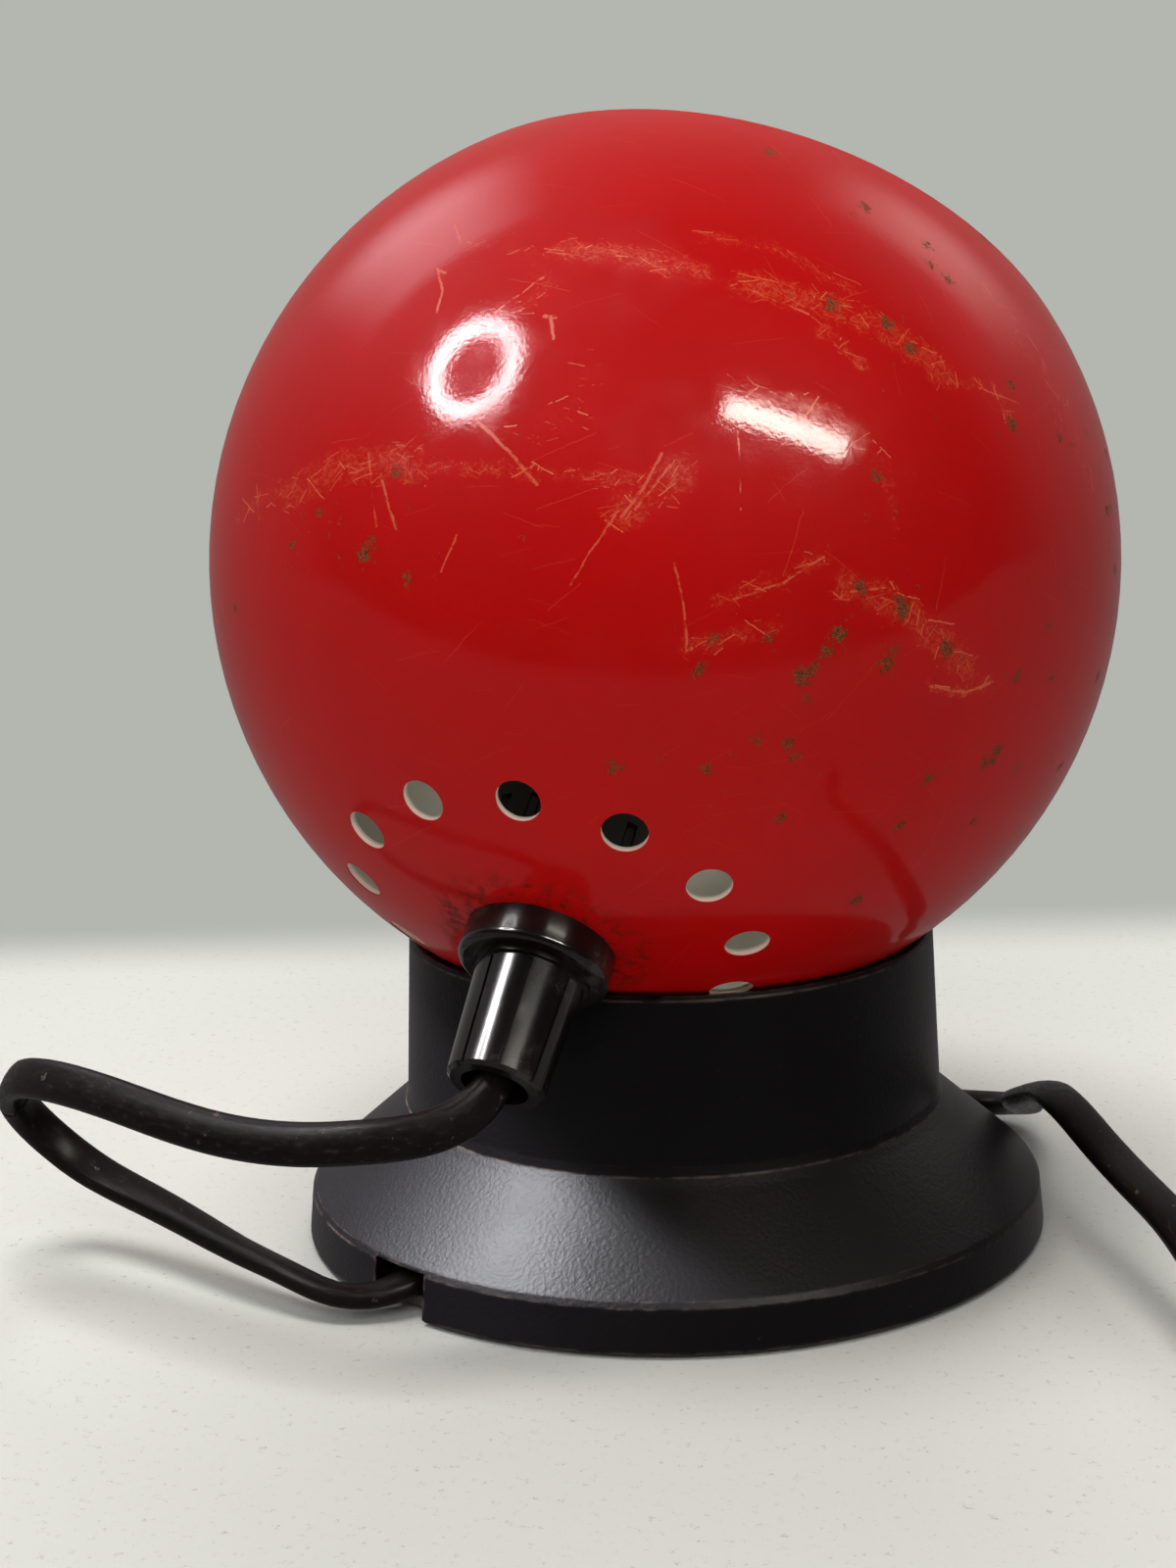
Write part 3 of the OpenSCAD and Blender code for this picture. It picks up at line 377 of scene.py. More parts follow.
def strokes(s, p, size, width, heading, loose, density, seed):
    """One short straight scratch in each cell of size mm, kept by chance where density is high.

    Gives the scratch's mask and a random value of its own.
    """
    n = s.add("ShaderNodeTexVoronoi", {"Vector": s.vector("ADD", p, (seed, seed * 0.7, -seed)),
                                       "Scale": 1 / (size * MM)})
    centre = s.vector("SUBTRACT", n.outputs["Position"], (seed, seed * 0.7, -seed))
    chance = s.vector("SUBTRACT", n.outputs["Color"], (0.5, 0.5, 0.5))
    run = s.vector("MULTIPLY_ADD", chance, (loose, loose, loose), heading)
    across = s.vector("NORMALIZE", s.vector("CROSS_PRODUCT", p, run))
    off = s.vector("DOT_PRODUCT", s.vector("SUBTRACT", p, centre), across, out="Value")
    parts = s.add("ShaderNodeSeparateColor", {0: n.outputs["Color"]})
    line = s.map(s.math("ABSOLUTE", off), width * MM * 0.5, width * MM * 0.2)
    kept = s.math("LESS_THAN", parts.outputs[0], density)
    return s.math("MULTIPLY", line, kept), parts.outputs[1]


def enamel():
    """Stove enamel: deep red outside with a soft orange peel, white inside, rubbed, scratched and rusted."""
    s = Shader("red_enamel")
    at = s.vector("SUBTRACT", s.object, tuple(BALL_AT))
    r = s.vector("LENGTH", at, out="Value")
    p = s.vector("NORMALIZE", at)
    wander = s.vector("SUBTRACT", s.noise(30, p, detail=4, rough=0.65, out="Color"), (0.5, 0.5, 0.5))
    bent = s.vector("MULTIPLY_ADD", wander, (0.06, 0.06, 0.06), p)
    shaky = s.vector("MULTIPLY_ADD", wander, (0.012, 0.012, 0.012), p)

    # where the ball is rubbed: the photograph's bands, and patches on the sides that it doesn't show
    rub = None
    for line, width, dense in RUBS:
        one = s.map(to_line(s, bent, line), width * MM * 0.55, 0, 0, dense)
        rub = one if rub is None else s.math("MAXIMUM", rub, one)
    to_camera = (CAM_AT - BALL_AT).normalized()
    hidden = s.map(s.vector("DOT_PRODUCT", p, tuple(to_camera), out="Value"), 0.30, -0.05)
    patches = s.map(s.noise(2.6, p, detail=3, rough=0.6), 0.54, 0.70, 0, 0.5)
    rub = s.math("MAXIMUM", rub, s.math("MULTIPLY", hidden, patches))
    broken = s.math("MULTIPLY", rub, s.map(s.noise(24, p, detail=4, rough=0.7), 0.36, 0.58, 0.25, 1.0))

    down_right, up_right = along(*DOWN_RIGHT), along(*UP_RIGHT)
    layers = [
        (1.0, strokes(s, shaky, 3.6, 0.24, down_right, 1.3, broken, 0.0)),
        (1.0, strokes(s, shaky, 2.6, 0.22, up_right, 1.3, broken, 3.1)),
        (0.8, strokes(s, shaky, 1.9, 0.20, up_right, 2.0, broken, 5.3)),
        (0.7, strokes(s, shaky, 1.4, 0.18, down_right, 2.0, broken, 8.9)),
        (0.4, strokes(s, shaky, 0.8, 0.22, down_right, 4.0, broken, 13.7)),
        (0.6, strokes(s, shaky, 6.0, 0.08, up_right, 4.0, 0.16, 17.3)),
        (0.5, strokes(s, shaky, 4.0, 0.07, down_right, 4.0, 0.12, 23.9)),
    ]
    cut, tint = None, None
    for weight, (mask, chance) in layers:
        mask = s.math("MULTIPLY", mask, weight)
        toned = s.math("MULTIPLY", mask, chance)
        tint = toned if tint is None else s.math("MAXIMUM", tint, toned)
        cut = mask if cut is None else s.math("MAXIMUM", cut, mask)
    single = None
    for line, width in SCRATCHES:
        gap = s.math("SUBTRACT", to_line(s, shaky, line), width * MM * 0.35)
        single = gap if single is None else s.math("MINIMUM", single, gap)
    single = s.map(single, 0.12 * MM, 0.0)
    single = s.math("MULTIPLY", single, s.map(s.noise(60, p, detail=3), 0.36, 0.46, 0.25, 1.0))

    # rust: the specks that the photograph shows, crumbs round them, and a few anywhere
    close = None
    ragged = s.vector("MULTIPLY_ADD", s.vector("SUBTRACT", s.noise(80, p, detail=4, rough=0.75, out="Color"),
                                               (0.5, 0.5, 0.5)), (0.075, 0.075, 0.075), p)
    for x, y, size in RUST:
        away = s.vector("DISTANCE", ragged, tuple(on_ball(x, y)), out="Value")
        gap = s.math("SUBTRACT", away, size * MM * 0.42)
        close = gap if close is None else s.math("MINIMUM", close, gap)
    spots = s.map(close, 0.12 * MM, -0.1 * MM)
    halo = s.map(close, 0.55 * MM, 0.0)
    crumb_at = s.add("ShaderNodeTexVoronoi", {"Vector": ragged, "Scale": 1 / (1.3 * MM)})
    luck = s.add("ShaderNodeSeparateColor", {0: crumb_at.outputs["Color"]})
    crumb_size = s.math("MULTIPLY", luck.outputs[1], 0.24)
    crumb = s.map(s.math("SUBTRACT", crumb_at.outputs["Distance"], crumb_size), 0.06, 0.0)
    speckled = s.math("MAXIMUM", s.map(close, 7 * MM, 0, 0.012, 0.34),
                      s.math("MULTIPLY", hidden, s.map(s.noise(5, p, detail=2), 0.5, 0.65, 0.02, 0.16)))
    crumb = s.math("MULTIPLY", crumb, s.math("LESS_THAN", luck.outputs[0], speckled))
    rust = s.math("MAXIMUM", spots, crumb)

    red = s.mix(s.noise(3, p, detail=4), srgb(170, 0, 0), srgb(187, 1, 2))
    bloom = s.map(s.noise(11, p, detail=5, rough=0.7), 0.5, 0.75)
    red = s.mix(s.math("MULTIPLY", bloom, 0.12), red, srgb(176, 34, 38))
    smear = s.math("MULTIPLY", s.map(s.noise(110, p, detail=6, rough=0.85), 0.47, 0.60),
                   s.map(broken, 0.03, 0.5))
    red = s.mix(s.math("MULTIPLY", broken, 0.25), red, srgb(182, 34, 20))
    red = s.mix(s.math("MULTIPLY", smear, 0.72), red, srgb(198, 64, 28))
    red = s.mix(s.math("MULTIPLY", cut, 0.85), red, s.mix(tint, srgb(196, 50, 24), srgb(214, 102, 60)))
    red = s.mix(s.math("MULTIPLY", single, 0.72), red, srgb(208, 88, 56))
    crust = s.mix(s.map(s.noise(260, p, detail=4, rough=0.8), 0.4, 0.62), srgb(72, 34, 18), srgb(138, 80, 44))
    red = s.mix(s.math("MULTIPLY", halo, 0.5), red, srgb(138, 34, 14))
    red = s.mix(s.math("MULTIPLY", rust, 0.9), red, crust)

    # rust creeping out under the collar
    grip = s.map(s.vector("DISTANCE", bent, tuple(-AIM), out="Value"), 0.265, 0.20)
    stain = s.math("MULTIPLY", grip, s.map(s.noise(40, p, detail=5, rough=0.75), 0.46, 0.62))
    red = s.mix(s.math("MULTIPLY", stain, 0.7), red, srgb(72, 26, 14))
    rust = s.math("MAXIMUM", rust, s.math("MULTIPLY", stain, 0.6))

    white = s.mix(s.noise(60, detail=4), srgb(206, 202, 190), srgb(188, 183, 170))
    lip = s.mix(s.noise(300, detail=3), srgb(255, 232, 222), srgb(250, 206, 190))
    inner = s.map(r, *INSIDE, kind="LINEAR")
    outer = s.map(r, *OUTSIDE, kind="LINEAR")
    colour = s.mix(outer, s.mix(inner, white, lip), red)

    worn = s.math("MAXIMUM", cut, s.math("MULTIPLY", single, 0.9))
    height = s.math("ADD", s.math("MULTIPLY", s.noise(1900, detail=2), 0.55),
                    s.math("MULTIPLY", s.noise(150), 0.5))
    normal = s.bump(height, 0.4, 0.00005)
    dust = s.map(s.noise(14, p, detail=4, rough=0.6), 0.35, 0.8, 0.06, 0.15)
    coat_rough = s.math("ADD", dust, s.math("MULTIPLY", s.math("MAXIMUM", worn, broken), 0.22), clamp=True)
    coat = s.math("MULTIPLY", s.math("MULTIPLY", outer, ENAMEL_COAT), s.math("SUBTRACT", 1.0, rust))
    return s.finish(colour, 0.55, normal, Coat_Weight=coat, Coat_Roughness=coat_rough,
                    Specular_IOR_Level=0.05)


def plastic(name, dark, light, rough=0.42, grain=2600.0, strength=0.5, patches=0.08, coat=0.0,
            coat_rough=0.1, dust=0.0):
    """Moulded plastic: a fine grain, slow changes of gloss, and dust where asked."""
    s = Shader(name)
    tone = s.noise(35, detail=5, rough=0.6)
    colour = s.mix(s.map(tone, 0.3, 0.7), dark, light)
    if dust:
        lint = s.math("MULTIPLY", s.map(s.noise(160, detail=5, rough=0.75), 0.5, 0.8), dust)
        colour = s.mix(lint, colour, srgb(150, 140, 126))
    pits = s.noise(grain, detail=2, rough=0.6)
    wave = s.noise(120, detail=3)
    normal = s.bump(s.math("ADD", pits, s.math("MULTIPLY", wave, 0.3)), strength, GRAIN_DEPTH)
    r = s.math("ADD", s.map(s.noise(22, detail=4), 0.3, 0.7, -patches, patches), rough, clamp=True)
    return s.finish(colour, r, normal, Coat_Weight=coat, Coat_Roughness=coat_rough, Specular_IOR_Level=0.3)


def metal(name, dark, light, rough=0.3, brush=(1, 1, 1), tarnish=0.3):
    """Plated or drawn metal: fine lines, and stains that are darker and duller."""
    s = Shader(name)
    v = s.mapping(s.object, scale=brush)
    lines = s.noise(900.0, v, detail=3)
    stain = s.math("MULTIPLY", s.map(s.noise(90, detail=5, rough=0.7), 0.45, 0.75), tarnish)
    colour = s.mix(stain, s.mix(lines, dark, light), tuple(c * 0.35 for c in dark[:3]) + (1,))
    normal = s.bump(lines, 0.25, 0.00003)
    dull = s.math("ADD", rough, s.math("MULTIPLY", stain, 0.3))
    r = s.math("ADD", s.map(lines, 0.3, 0.7, -0.06, 0.06), dull)
    return s.finish(colour, r, normal, Metallic=1.0)


def cord_skin():
    """Black PVC flex: long scuffs, fine lines along it and a few nicks."""
    s = Shader("cord_pvc")
    uv = s.add("ShaderNodeTexCoord").outputs["UV"]
    v = s.mapping(uv, scale=(5, 90, 1))
    streak = s.noise(6, v, detail=4, rough=0.65)
    fine = s.noise(30, s.mapping(uv, scale=(4, 40, 1)), detail=3)
    tone = s.map(s.noise(55, detail=4), 0.35, 0.7)
    colour = s.mix(tone, srgb(13, 10, 9), srgb(21, 17, 15))
    colour = s.mix(s.math("MULTIPLY", s.map(streak, 0.55, 0.75), 0.35), colour, srgb(74, 63, 58))
    nick = s.map(s.noise(420, detail=4, rough=0.7), 0.66, 0.72)
    colour = s.mix(s.math("MULTIPLY", nick, 0.4), colour, srgb(128, 112, 102))
    height = s.math("ADD", s.math("MULTIPLY", streak, 0.6), s.math("MULTIPLY", fine, 0.3))
    height = s.math("SUBTRACT", height, nick)
    return s.finish(colour, s.map(streak, 0.3, 0.7, 0.30, 0.48), s.bump(height, 0.4, 0.00005),
                    Specular_IOR_Level=0.11)


def base_plastic():
    """Spark-eroded black moulding: fine even grain, edges painted lighter as rubbed wear and as a painted
    highlight, with a little dust.
    """
    s = Shader("base_black")
    tone = s.noise(30, detail=5, rough=0.6)
    colour = s.mix(s.map(tone, 0.3, 0.7), srgb(8, 6, 8), srgb(12, 10, 12))
    grain = s.noise(2100, detail=2, rough=0.7)
    height = s.math("ADD", grain, s.math("MULTIPLY", s.cells(1500), 0.5))
    soft = s.add("ShaderNodeBevel", {"Radius": 0.0005}, samples=4).outputs[0]
    flat = s.add("ShaderNodeNewGeometry").outputs["Normal"]
    # edges painted lighter: partly rubbed wear, partly a painted highlight along the edges
    edge = s.map(s.vector("DOT_PRODUCT", soft, flat, out="Value"), 0.998, 0.95)
    rubbed = s.math("MULTIPLY", edge, s.map(s.noise(240, detail=4, rough=0.7), 0.40, 0.60))
    colour = s.mix(s.math("MULTIPLY", rubbed, 0.65), colour, srgb(104, 88, 78))
    fluff = s.map(s.noise(700, detail=4, rough=0.8), 0.68, 0.74)
    colour = s.mix(s.math("MULTIPLY", fluff, 0.25), colour, srgb(120, 112, 104))
    r = s.map(s.noise(26, detail=4), 0.3, 0.7, 0.38, 0.47)
    return s.finish(colour, r, s.bump(height, 0.8, 0.00006, soft), Specular_IOR_Level=0.13)


def glass():
    s = Shader("opal_glass")
    body = s.mix(s.noise(60, detail=3), srgb(238, 236, 228), srgb(228, 225, 215))
    return s.finish(body, 0.16, s.bump(s.noise(200, detail=2), 0.1, 0.00002), Coat_Weight=0.6,
                    Coat_Roughness=0.05, Subsurface_Weight=0.15)


def cast_iron():
    s = Shader("cast_iron")
    colour = s.mix(s.noise(90, detail=5, rough=0.7), srgb(70, 70, 72), srgb(104, 102, 100))
    return s.finish(colour, 0.6, s.bump(s.noise(1300, detail=3), 0.6, 0.0001), Metallic=0.6)


def card():
    s = Shader("pressed_board")
    fibre = s.noise(700, s.mapping(s.object, scale=(1, 0.3, 1)), detail=5, rough=0.8)
    return s.finish(s.mix(fibre, srgb(58, 52, 47), srgb(84, 76, 68)), 0.85, s.bump(fibre, 0.5, 0.0001))


ENAMEL = enamel()
CORD = cord_skin()
BASE = base_plastic()
GRIP = plastic("grip_gloss", srgb(9, 6, 6), srgb(18, 13, 12), rough=0.15, grain=500, strength=0.12,
               patches=0.06, coat=0.25, coat_rough=0.05, dust=0.12)
COLLAR = plastic("collar_gloss", srgb(10, 6, 6), srgb(22, 16, 15), rough=0.18, grain=500, strength=0.12,
                 patches=0.08, coat=0.3, coat_rough=0.08, dust=0.22)
HOLDER = plastic("thermoset", srgb(20, 17, 16), srgb(32, 27, 25), rough=0.28, grain=900, strength=0.2)
SWITCHES = plastic("switch_black", srgb(20, 20, 20), srgb(30, 29, 29), rough=0.3, grain=1800, strength=0.3,
                   dust=0.06)
ROCKER = plastic("rocker_ivory", srgb(186, 178, 156), srgb(204, 197, 176), rough=0.3, grain=1200,
                 strength=0.15)
PLUG = plastic("plug_black", srgb(22, 21, 21), srgb(33, 31, 31), rough=0.36, grain=1500, strength=0.4,
               dust=0.06)
RUBBER = plastic("rubber", srgb(24, 24, 24), srgb(40, 39, 38), rough=0.7, grain=1500, strength=0.5, dust=0.2)
CERAMIC = plastic("ceramic", srgb(214, 208, 194), srgb(228, 224, 212), rough=0.22, grain=700, strength=0.1)
SEAT = plastic("seat_nylon", srgb(30, 30, 31), srgb(42, 41, 41), rough=0.5, grain=1200, strength=0.3)
GLAZE = plastic("cap_glaze", srgb(18, 18, 24), srgb(34, 34, 42), rough=0.12, grain=400, strength=0.1)
STEEL = metal("zinc_steel", srgb(150, 150, 148), srgb(190, 190, 186), rough=0.32)
BRASS = metal("brass", srgb(176, 140, 76), srgb(206, 170, 100), rough=0.26)
NICKEL = metal("nickel", srgb(186, 182, 172), srgb(214, 211, 202), rough=0.16, tarnish=0.2)
ALUMINIUM = metal("aluminium", srgb(170, 172, 174), srgb(208, 209, 210), rough=0.34, brush=(1, 1, 8))
MAGNET = metal("ferrite", srgb(44, 44, 48), srgb(66, 66, 70), rough=0.5)
IRON = cast_iron()
BOARD = card()
GLASS = glass()

WEARS = {
    "ball_shade": ENAMEL, "grip_collar": COLLAR, "cord_grip": GRIP, "toothed_washer": STEEL,
    "holder_cap": HOLDER, "holder_skirt": HOLDER, "contact_insert": CERAMIC, "screw_shell": BRASS,
    "centre_contact": BRASS, "terminal_screws": BRASS, "holder_cord": CORD, "bulb_globe": GLASS,
    "bulb_cap": ALUMINIUM, "bulb_insulator": GLAZE, "bulb_contact": NICKEL, "seat_ring": SEAT,
    "base_shell": BASE, "ballast": IRON, "magnet_pot": STEEL, "ring_magnet": MAGNET, "magnet_screw": STEEL,
    "bottom_cover": BOARD, "cover_screws": STEEL, "foot_pads": RUBBER, "cord_clamp": STEEL,
    "clamp_screws": STEEL, "base_cord": CORD, "switch_lower": SWITCHES, "switch_upper": SWITCHES,
    "switch_rocker": ROCKER, "switch_screws": STEEL, "plug_body": PLUG, "plug_pins": NICKEL,
}
for name, m in WEARS.items():
    nodes[name].data.materials.clear()
    nodes[name].data.materials.append(m)
for piece in (upper, lower, lead, tail):
    piece.data.materials.append(CORD)


# ---------------------------------------------------------------- studio
WALL = srgb(180, 182, 176)
TABLE_END, WALL_FROM = 0.125, 0.165
EDGE_START, EDGE_END = 0.27, 0.36
SHEEN_ON, SHEEN_FROM, SHEEN_AWAY = (0, 0.042, 0.015), (0.510, 0.165, 0.844), 0.9
# in the photograph's pixels: the ball's outline, the round reflection, and the long one's two ends
OUTLINE_AT, OUTLINE_R = (681, 579), 469
RING_AT, RING_TILT = (484, 376), -0.9
WINDOW_FROM, WINDOW_TO = (736, 414), (866, 460)
HALO_FROM, HALO_TO = (712, 412), (884, 468)
FLOOR_REACH = 4


def floor_paint():
    """Pale table near the lamp that turns into the wall's colour along a fixed line behind it."""
    s = Shader("pale_floor")
    tone = s.noise(5, detail=5, rough=0.6)
    speck = s.map(s.noise(620, detail=6, rough=0.85), 0.57, 0.66)
    colour = s.mix(tone, srgb(206, 210, 205), srgb(219, 220, 214))
    colour = s.mix(s.math("MULTIPLY", speck, 0.55), colour, srgb(140, 132, 116))
    paint = s.add("ShaderNodeBsdfPrincipled", {"Base Color": colour, "Roughness": 0.8,
                                               "Normal": s.bump(s.noise(300, detail=3), 0.1, 0.00005)})
    far = s.add("ShaderNodeEmission", {"Color": WALL, "Strength": 1.0})
    away = Vector((CAM_FORWARD.x, CAM_FORWARD.y, 0)).normalized()
    fade = s.map(s.vector("DOT_PRODUCT", s.object, tuple(away), out="Value"), TABLE_END, WALL_FROM)
    both = s.add("ShaderNodeMixShader", {0: fade})
    s.tree.links.new(paint.outputs[0], both.inputs[1])
    s.tree.links.new(far.outputs[0], both.inputs[2])
    # painted reflection: glossy surfaces see the floor as a glowing flat tone that ends in the dark on the
    # near side
    near = s.map(s.vector("DOT_PRODUCT", s.object, tuple(-away), out="Value"), EDGE_START, EDGE_END)
    painted_floor_reflection = s.add("ShaderNodeEmission", {"Color": s.mix(near, srgb(212, 206, 204), srgb(70, 66, 62)),
                                        "Strength": s.map(near, 0, 1, 0.42, 0.25)})
    ended = s.add("ShaderNodeMixShader", {0: s.add("ShaderNodeLightPath").outputs["Is Glossy Ray"]})
    s.tree.links.new(both.outputs[0], ended.inputs[1])
    s.tree.links.new(painted_floor_reflection.outputs[0], ended.inputs[2])
    out = s.add("ShaderNodeOutputMaterial")
    s.tree.links.new(ended.outputs[0], out.inputs[0])
    return s.material


def glow(name, strength, colour, soft_u, soft_v):
    """Light that fades to nothing towards the edges of the panel that carries it."""
    s = Shader(name)
    uv = s.add("ShaderNodeTexCoord").outputs["UV"]
    parts = s.add("ShaderNodeSeparateXYZ", {0: uv})
    fade = 1.0
    for k, (low, high) in enumerate((soft_u, soft_v)):
        rise = s.map(parts.outputs[k], 0, low) if low else 1.0
        fall = s.map(parts.outputs[k], 1, 1 - high) if high else 1.0
        fade = s.math("MULTIPLY", fade, s.math("MULTIPLY", rise, fall))
    both = s.add("ShaderNodeMixShader", {0: fade})
    s.tree.links.new(s.add("ShaderNodeBsdfTransparent").outputs[0], both.inputs[1])
    light = s.add("ShaderNodeEmission", {"Color": colour, "Strength": strength})
    s.tree.links.new(light.outputs[0], both.inputs[2])
    out = s.add("ShaderNodeOutputMaterial")
    s.tree.links.new(both.outputs[0], out.inputs[0])
    return s.material


def mirror(x, y):
    """The spot on the ball at this pixel, and the direction that it mirrors to the camera."""
    n = on_ball(x, y)
    spot = BALL_AT + n * BALL_R
    ray = (spot - CAM_AT).normalized()
    return spot, ray - n * (2 * ray.dot(n))


def mirrored(name, shape, distance, material, across=24, down=10):
    """A glowing sheet whose reflection on the ball has this shape: shape(u, v) gives pixels."""
    verts, faces, uvs = [], [], []
    for j in range(down + 1):
        for i in range(across + 1):
            spot, d = mirror(*shape(i / across, j / down))
            verts.append(spot + d * distance)
    for j in range(down):
        for i in range(across):
            k = j * (across + 1) + i
            faces.append((k, k + 1, k + across + 2, k + across + 1))
            uvs += [(u / across, v / down) for u, v in ((i, j), (i + 1, j), (i + 1, j + 1), (i, j + 1))]
    mesh = bpy.data.meshes.new(name)
    mesh.from_pydata(verts, [], faces)
    layer = mesh.uv_layers.new(name="face")
    layer.data.foreach_set("uv", np.array(uvs, np.float32).ravel())
    mesh.materials.append(material)
    o = bpy.data.objects.new(name, mesh)
    bpy.context.collection.objects.link(o)
    o.visible_camera = False
    o.visible_shadow = False
    o.visible_diffuse = False


def oval(centre, inner, outer, tilt):
    """A ring of pixels: u runs round it and v from its inner to its outer edge."""
    def shape(u, v):
        a = 2 * math.pi * u
        x, y = ((inner[k] + (outer[k] - inner[k]) * v) * f(a) for k, f in ((0, math.cos), (1, math.sin)))
        return (centre[0] + x * math.cos(tilt) - y * math.sin(tilt),
                centre[1] + x * math.sin(tilt) + y * math.cos(tilt))
    return shape


def strip(start, end, width, bow=0.0):
    """A bar of pixels from start to end: u runs along it and v across it."""
    run = (end[0] - start[0], end[1] - start[1])
    size = math.hypot(*run)
    side = (-run[1] / size, run[0] / size)

    def shape(u, v):
        off = (v - 0.5) * width + bow * (1 - (2 * u - 1) ** 2)
        return (start[0] + run[0] * u + side[0] * off, start[1] + run[1] * u + side[1] * off)
    return shape


def rim_band(turn_from, turn_to, near, far):
    """A band along the ball's outline: turns in degrees from the right, near and far in its radius."""
    def shape(u, v):
        a = math.radians(turn_from + (turn_to - turn_from) * u)
        r = OUTLINE_R * (near + (far - near) * v)
        return (OUTLINE_AT[0] + r * math.cos(a), OUTLINE_AT[1] - r * math.sin(a))
    return shape


def lamp(name, at, look, size, power, colour):
    """A soft round lamp at one place that looks at another, and that nothing mirrors."""
    d = bpy.data.lights.new(name, "AREA")
    d.shape = "DISK"
    d.size = size
    d.energy = power
    d.color = colour
    o = bpy.data.objects.new(name, d)
    bpy.context.collection.objects.link(o)
    o.location = at
    o.rotation_mode = "QUATERNION"
    o.rotation_quaternion = (Vector(look) - Vector(at)).to_track_quat("-Z", "Y")
    o.visible_glossy = False


floor = bpy.data.objects.new("floor", bpy.data.meshes.new("floor"))
corners = [(x * FLOOR_REACH, y * FLOOR_REACH, 0) for x, y in ((-1, -1), (1, -1), (1, 1), (-1, 1))]
floor.data.from_pydata(corners, [], [(0, 1, 2, 3)])
bpy.context.collection.objects.link(floor)
floor.data.materials.append(floor_paint())

mirrored("ring_light", oval(RING_AT, (32, 21), (66, 47), RING_TILT), 0.7,
         glow("ring_glow", 62, (1, 0.97, 0.98, 1), (0, 0), (0.4, 0.45)), 72, 6)
mirrored("ring_halo", oval(RING_AT, (1, 1), (84, 66), RING_TILT), 0.75,
         glow("ring_haze", 1.6, (1, 0.75, 0.95, 1), (0, 0), (0, 0.6)), 48, 6)
mirrored("window", strip(WINDOW_FROM, WINDOW_TO, 32, -3), 0.8,
         glow("window_glow", 62, (1, 0.97, 0.86, 1), (0.06, 0.06), (0.25, 0.3)))
mirrored("window_halo", strip(HALO_FROM, HALO_TO, 96), 0.85,
         glow("window_haze", 1.2, (1, 0.8, 0.9, 1), (0.4, 0.4), (0.5, 0.5)))
mirrored("glow_left", rim_band(146, 106, 0.80, 0.975), 0.9,
         glow("left_glow", 4.2, (1, 0.93, 1.0, 1), (0.45, 0.45), (0.22, 0.35)), 40, 12)
mirrored("glow_left_wide", rim_band(166, 84, 0.70, 0.99), 0.95,
         glow("left_haze", 0.45, (1, 0.90, 1.0, 1), (0.4, 0.5), (0.4, 0.2)), 40, 12)
mirrored("glow_right", rim_band(72, 28, 0.835, 0.965), 0.9,
         glow("right_glow", 2.6, (1, 0.93, 0.88, 1), (0.45, 0.5), (0.4, 0.4)), 40, 12)
mirrored("glow_right_wide", rim_band(80, 2, 0.74, 0.99), 0.95,
         glow("right_haze", 0.5, (1, 0.88, 0.90, 1), (0.4, 0.5), (0.5, 0.2)), 40, 12)

# the sheen on the base's cone: a lamp that lights only the base, in the shadow of only the base and the ball
lit_by_sheen = bpy.data.collections.new("lit_by_sheen")
lit_by_sheen.objects.link(nodes["base_shell"])
sheen_blockers = bpy.data.collections.new("sheen_blockers")
for name in ("base_shell", "ball_shade"):
    sheen_blockers.objects.link(nodes[name])
sheen = bpy.data.lights.new("sheen", "AREA")
sheen.shape = "RECTANGLE"
sheen.size, sheen.size_y = 0.09, 0.10
sheen.energy = 36
sheen.color = (0.93, 0.95, 1.0)
sheen_lamp = bpy.data.objects.new("sheen", sheen)
bpy.context.collection.objects.link(sheen_lamp)
sheen_lamp.location = Vector(SHEEN_ON) + Vector(SHEEN_FROM) * SHEEN_AWAY
sheen_lamp.rotation_mode = "QUATERNION"
sheen_lamp.rotation_quaternion = (-Vector(SHEEN_FROM)).to_track_quat("-Z", "Y")
sheen_lamp.light_linking.receiver_collection = lit_by_sheen
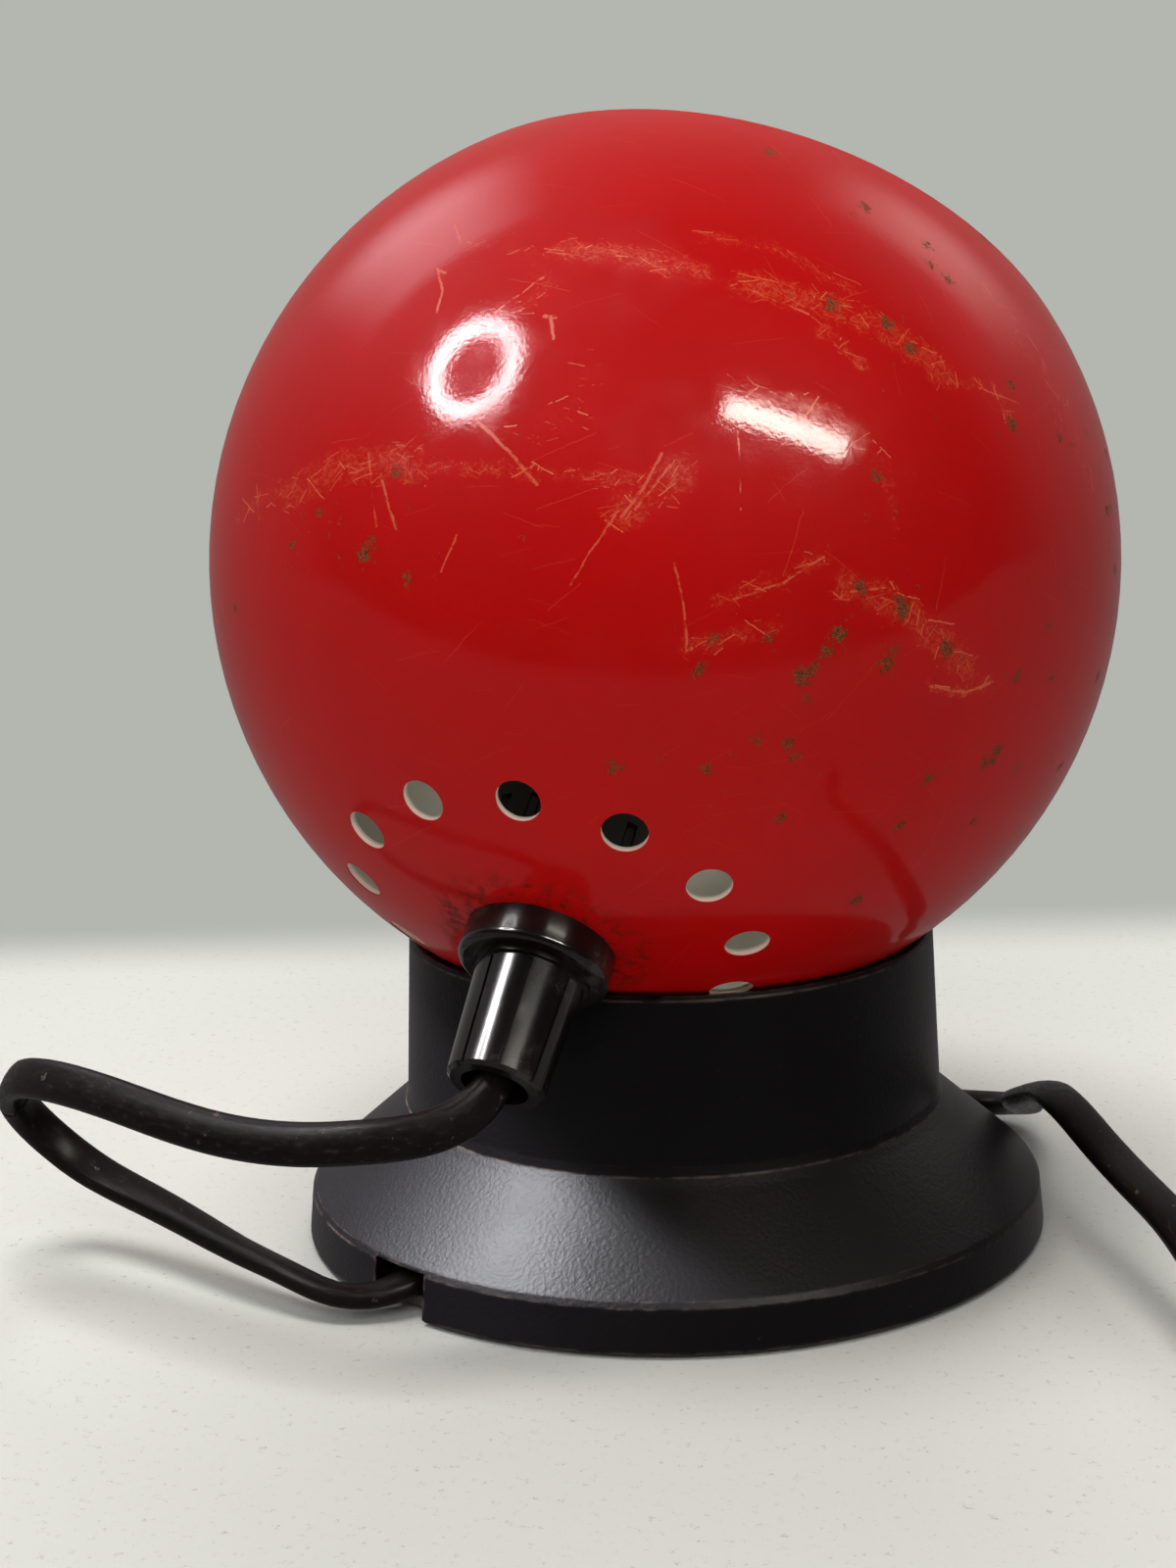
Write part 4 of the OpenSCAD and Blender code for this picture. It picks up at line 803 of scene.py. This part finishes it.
sheen_lamp.light_linking.blocker_collection = sheen_blockers
# the coil, switch and plug, which the photograph doesn't show, stay out of the ball's reflections
for piece in [tail] + [nodes[n] for n in SWITCH + ["plug_body", "plug_pins"]]:
    piece.visible_glossy = False
lamp("overhead", (0.1, 0.25, 1.4), (0, 0, 0.05), 0.7, 14, (1, 0.985, 0.97))
lamp("front", (0.35, -1.1, 0.95), (0, 0, 0.07), 0.8, 9, (1, 0.99, 0.98))
lamp("fill", (-0.4, 1.1, 0.9), (0, 0, 0.05), 0.8, 7.5, (1, 0.98, 0.95))

world = bpy.data.worlds.new("studio")
bpy.context.scene.world = world
world.use_nodes = True
wt = world.node_tree
wt.nodes.clear()


def w_node(kind, **inputs):
    """A node of the world: _0, _1 and so on set its inputs by number."""
    n = wt.nodes.new(kind)
    for k, v in inputs.items():
        n.inputs[int(k[1:])].default_value = v
    return n


light_path = w_node("ShaderNodeLightPath")
seen = w_node("ShaderNodeBackground", _0=WALL, _1=1.0)
dark = w_node("ShaderNodeBackground", _0=srgb(120, 116, 112), _1=0.16)
wall = w_node("ShaderNodeBackground", _0=srgb(188, 186, 182), _1=0.55)
coords = w_node("ShaderNodeTexCoord")
towards = w_node("ShaderNodeVectorMath", _1=(0.40, -0.91, 0.0))
towards.operation = "DOT_PRODUCT"
side_of = w_node("ShaderNodeMapRange", _1=-0.15, _2=0.45)
side_of.interpolation_type = "SMOOTHSTEP"
wt.links.new(coords.outputs["Generated"], towards.inputs[0])
wt.links.new(towards.outputs["Value"], side_of.inputs[0])
room = w_node("ShaderNodeMixShader")
wt.links.new(side_of.outputs[0], room.inputs[0])
wt.links.new(dark.outputs[0], room.inputs[1])
wt.links.new(wall.outputs[0], room.inputs[2])
either = w_node("ShaderNodeMixShader")
wt.links.new(light_path.outputs["Is Camera Ray"], either.inputs[0])
wt.links.new(room.outputs[0], either.inputs[1])
wt.links.new(seen.outputs[0], either.inputs[2])
end = w_node("ShaderNodeOutputWorld")
wt.links.new(either.outputs[0], end.inputs[0])
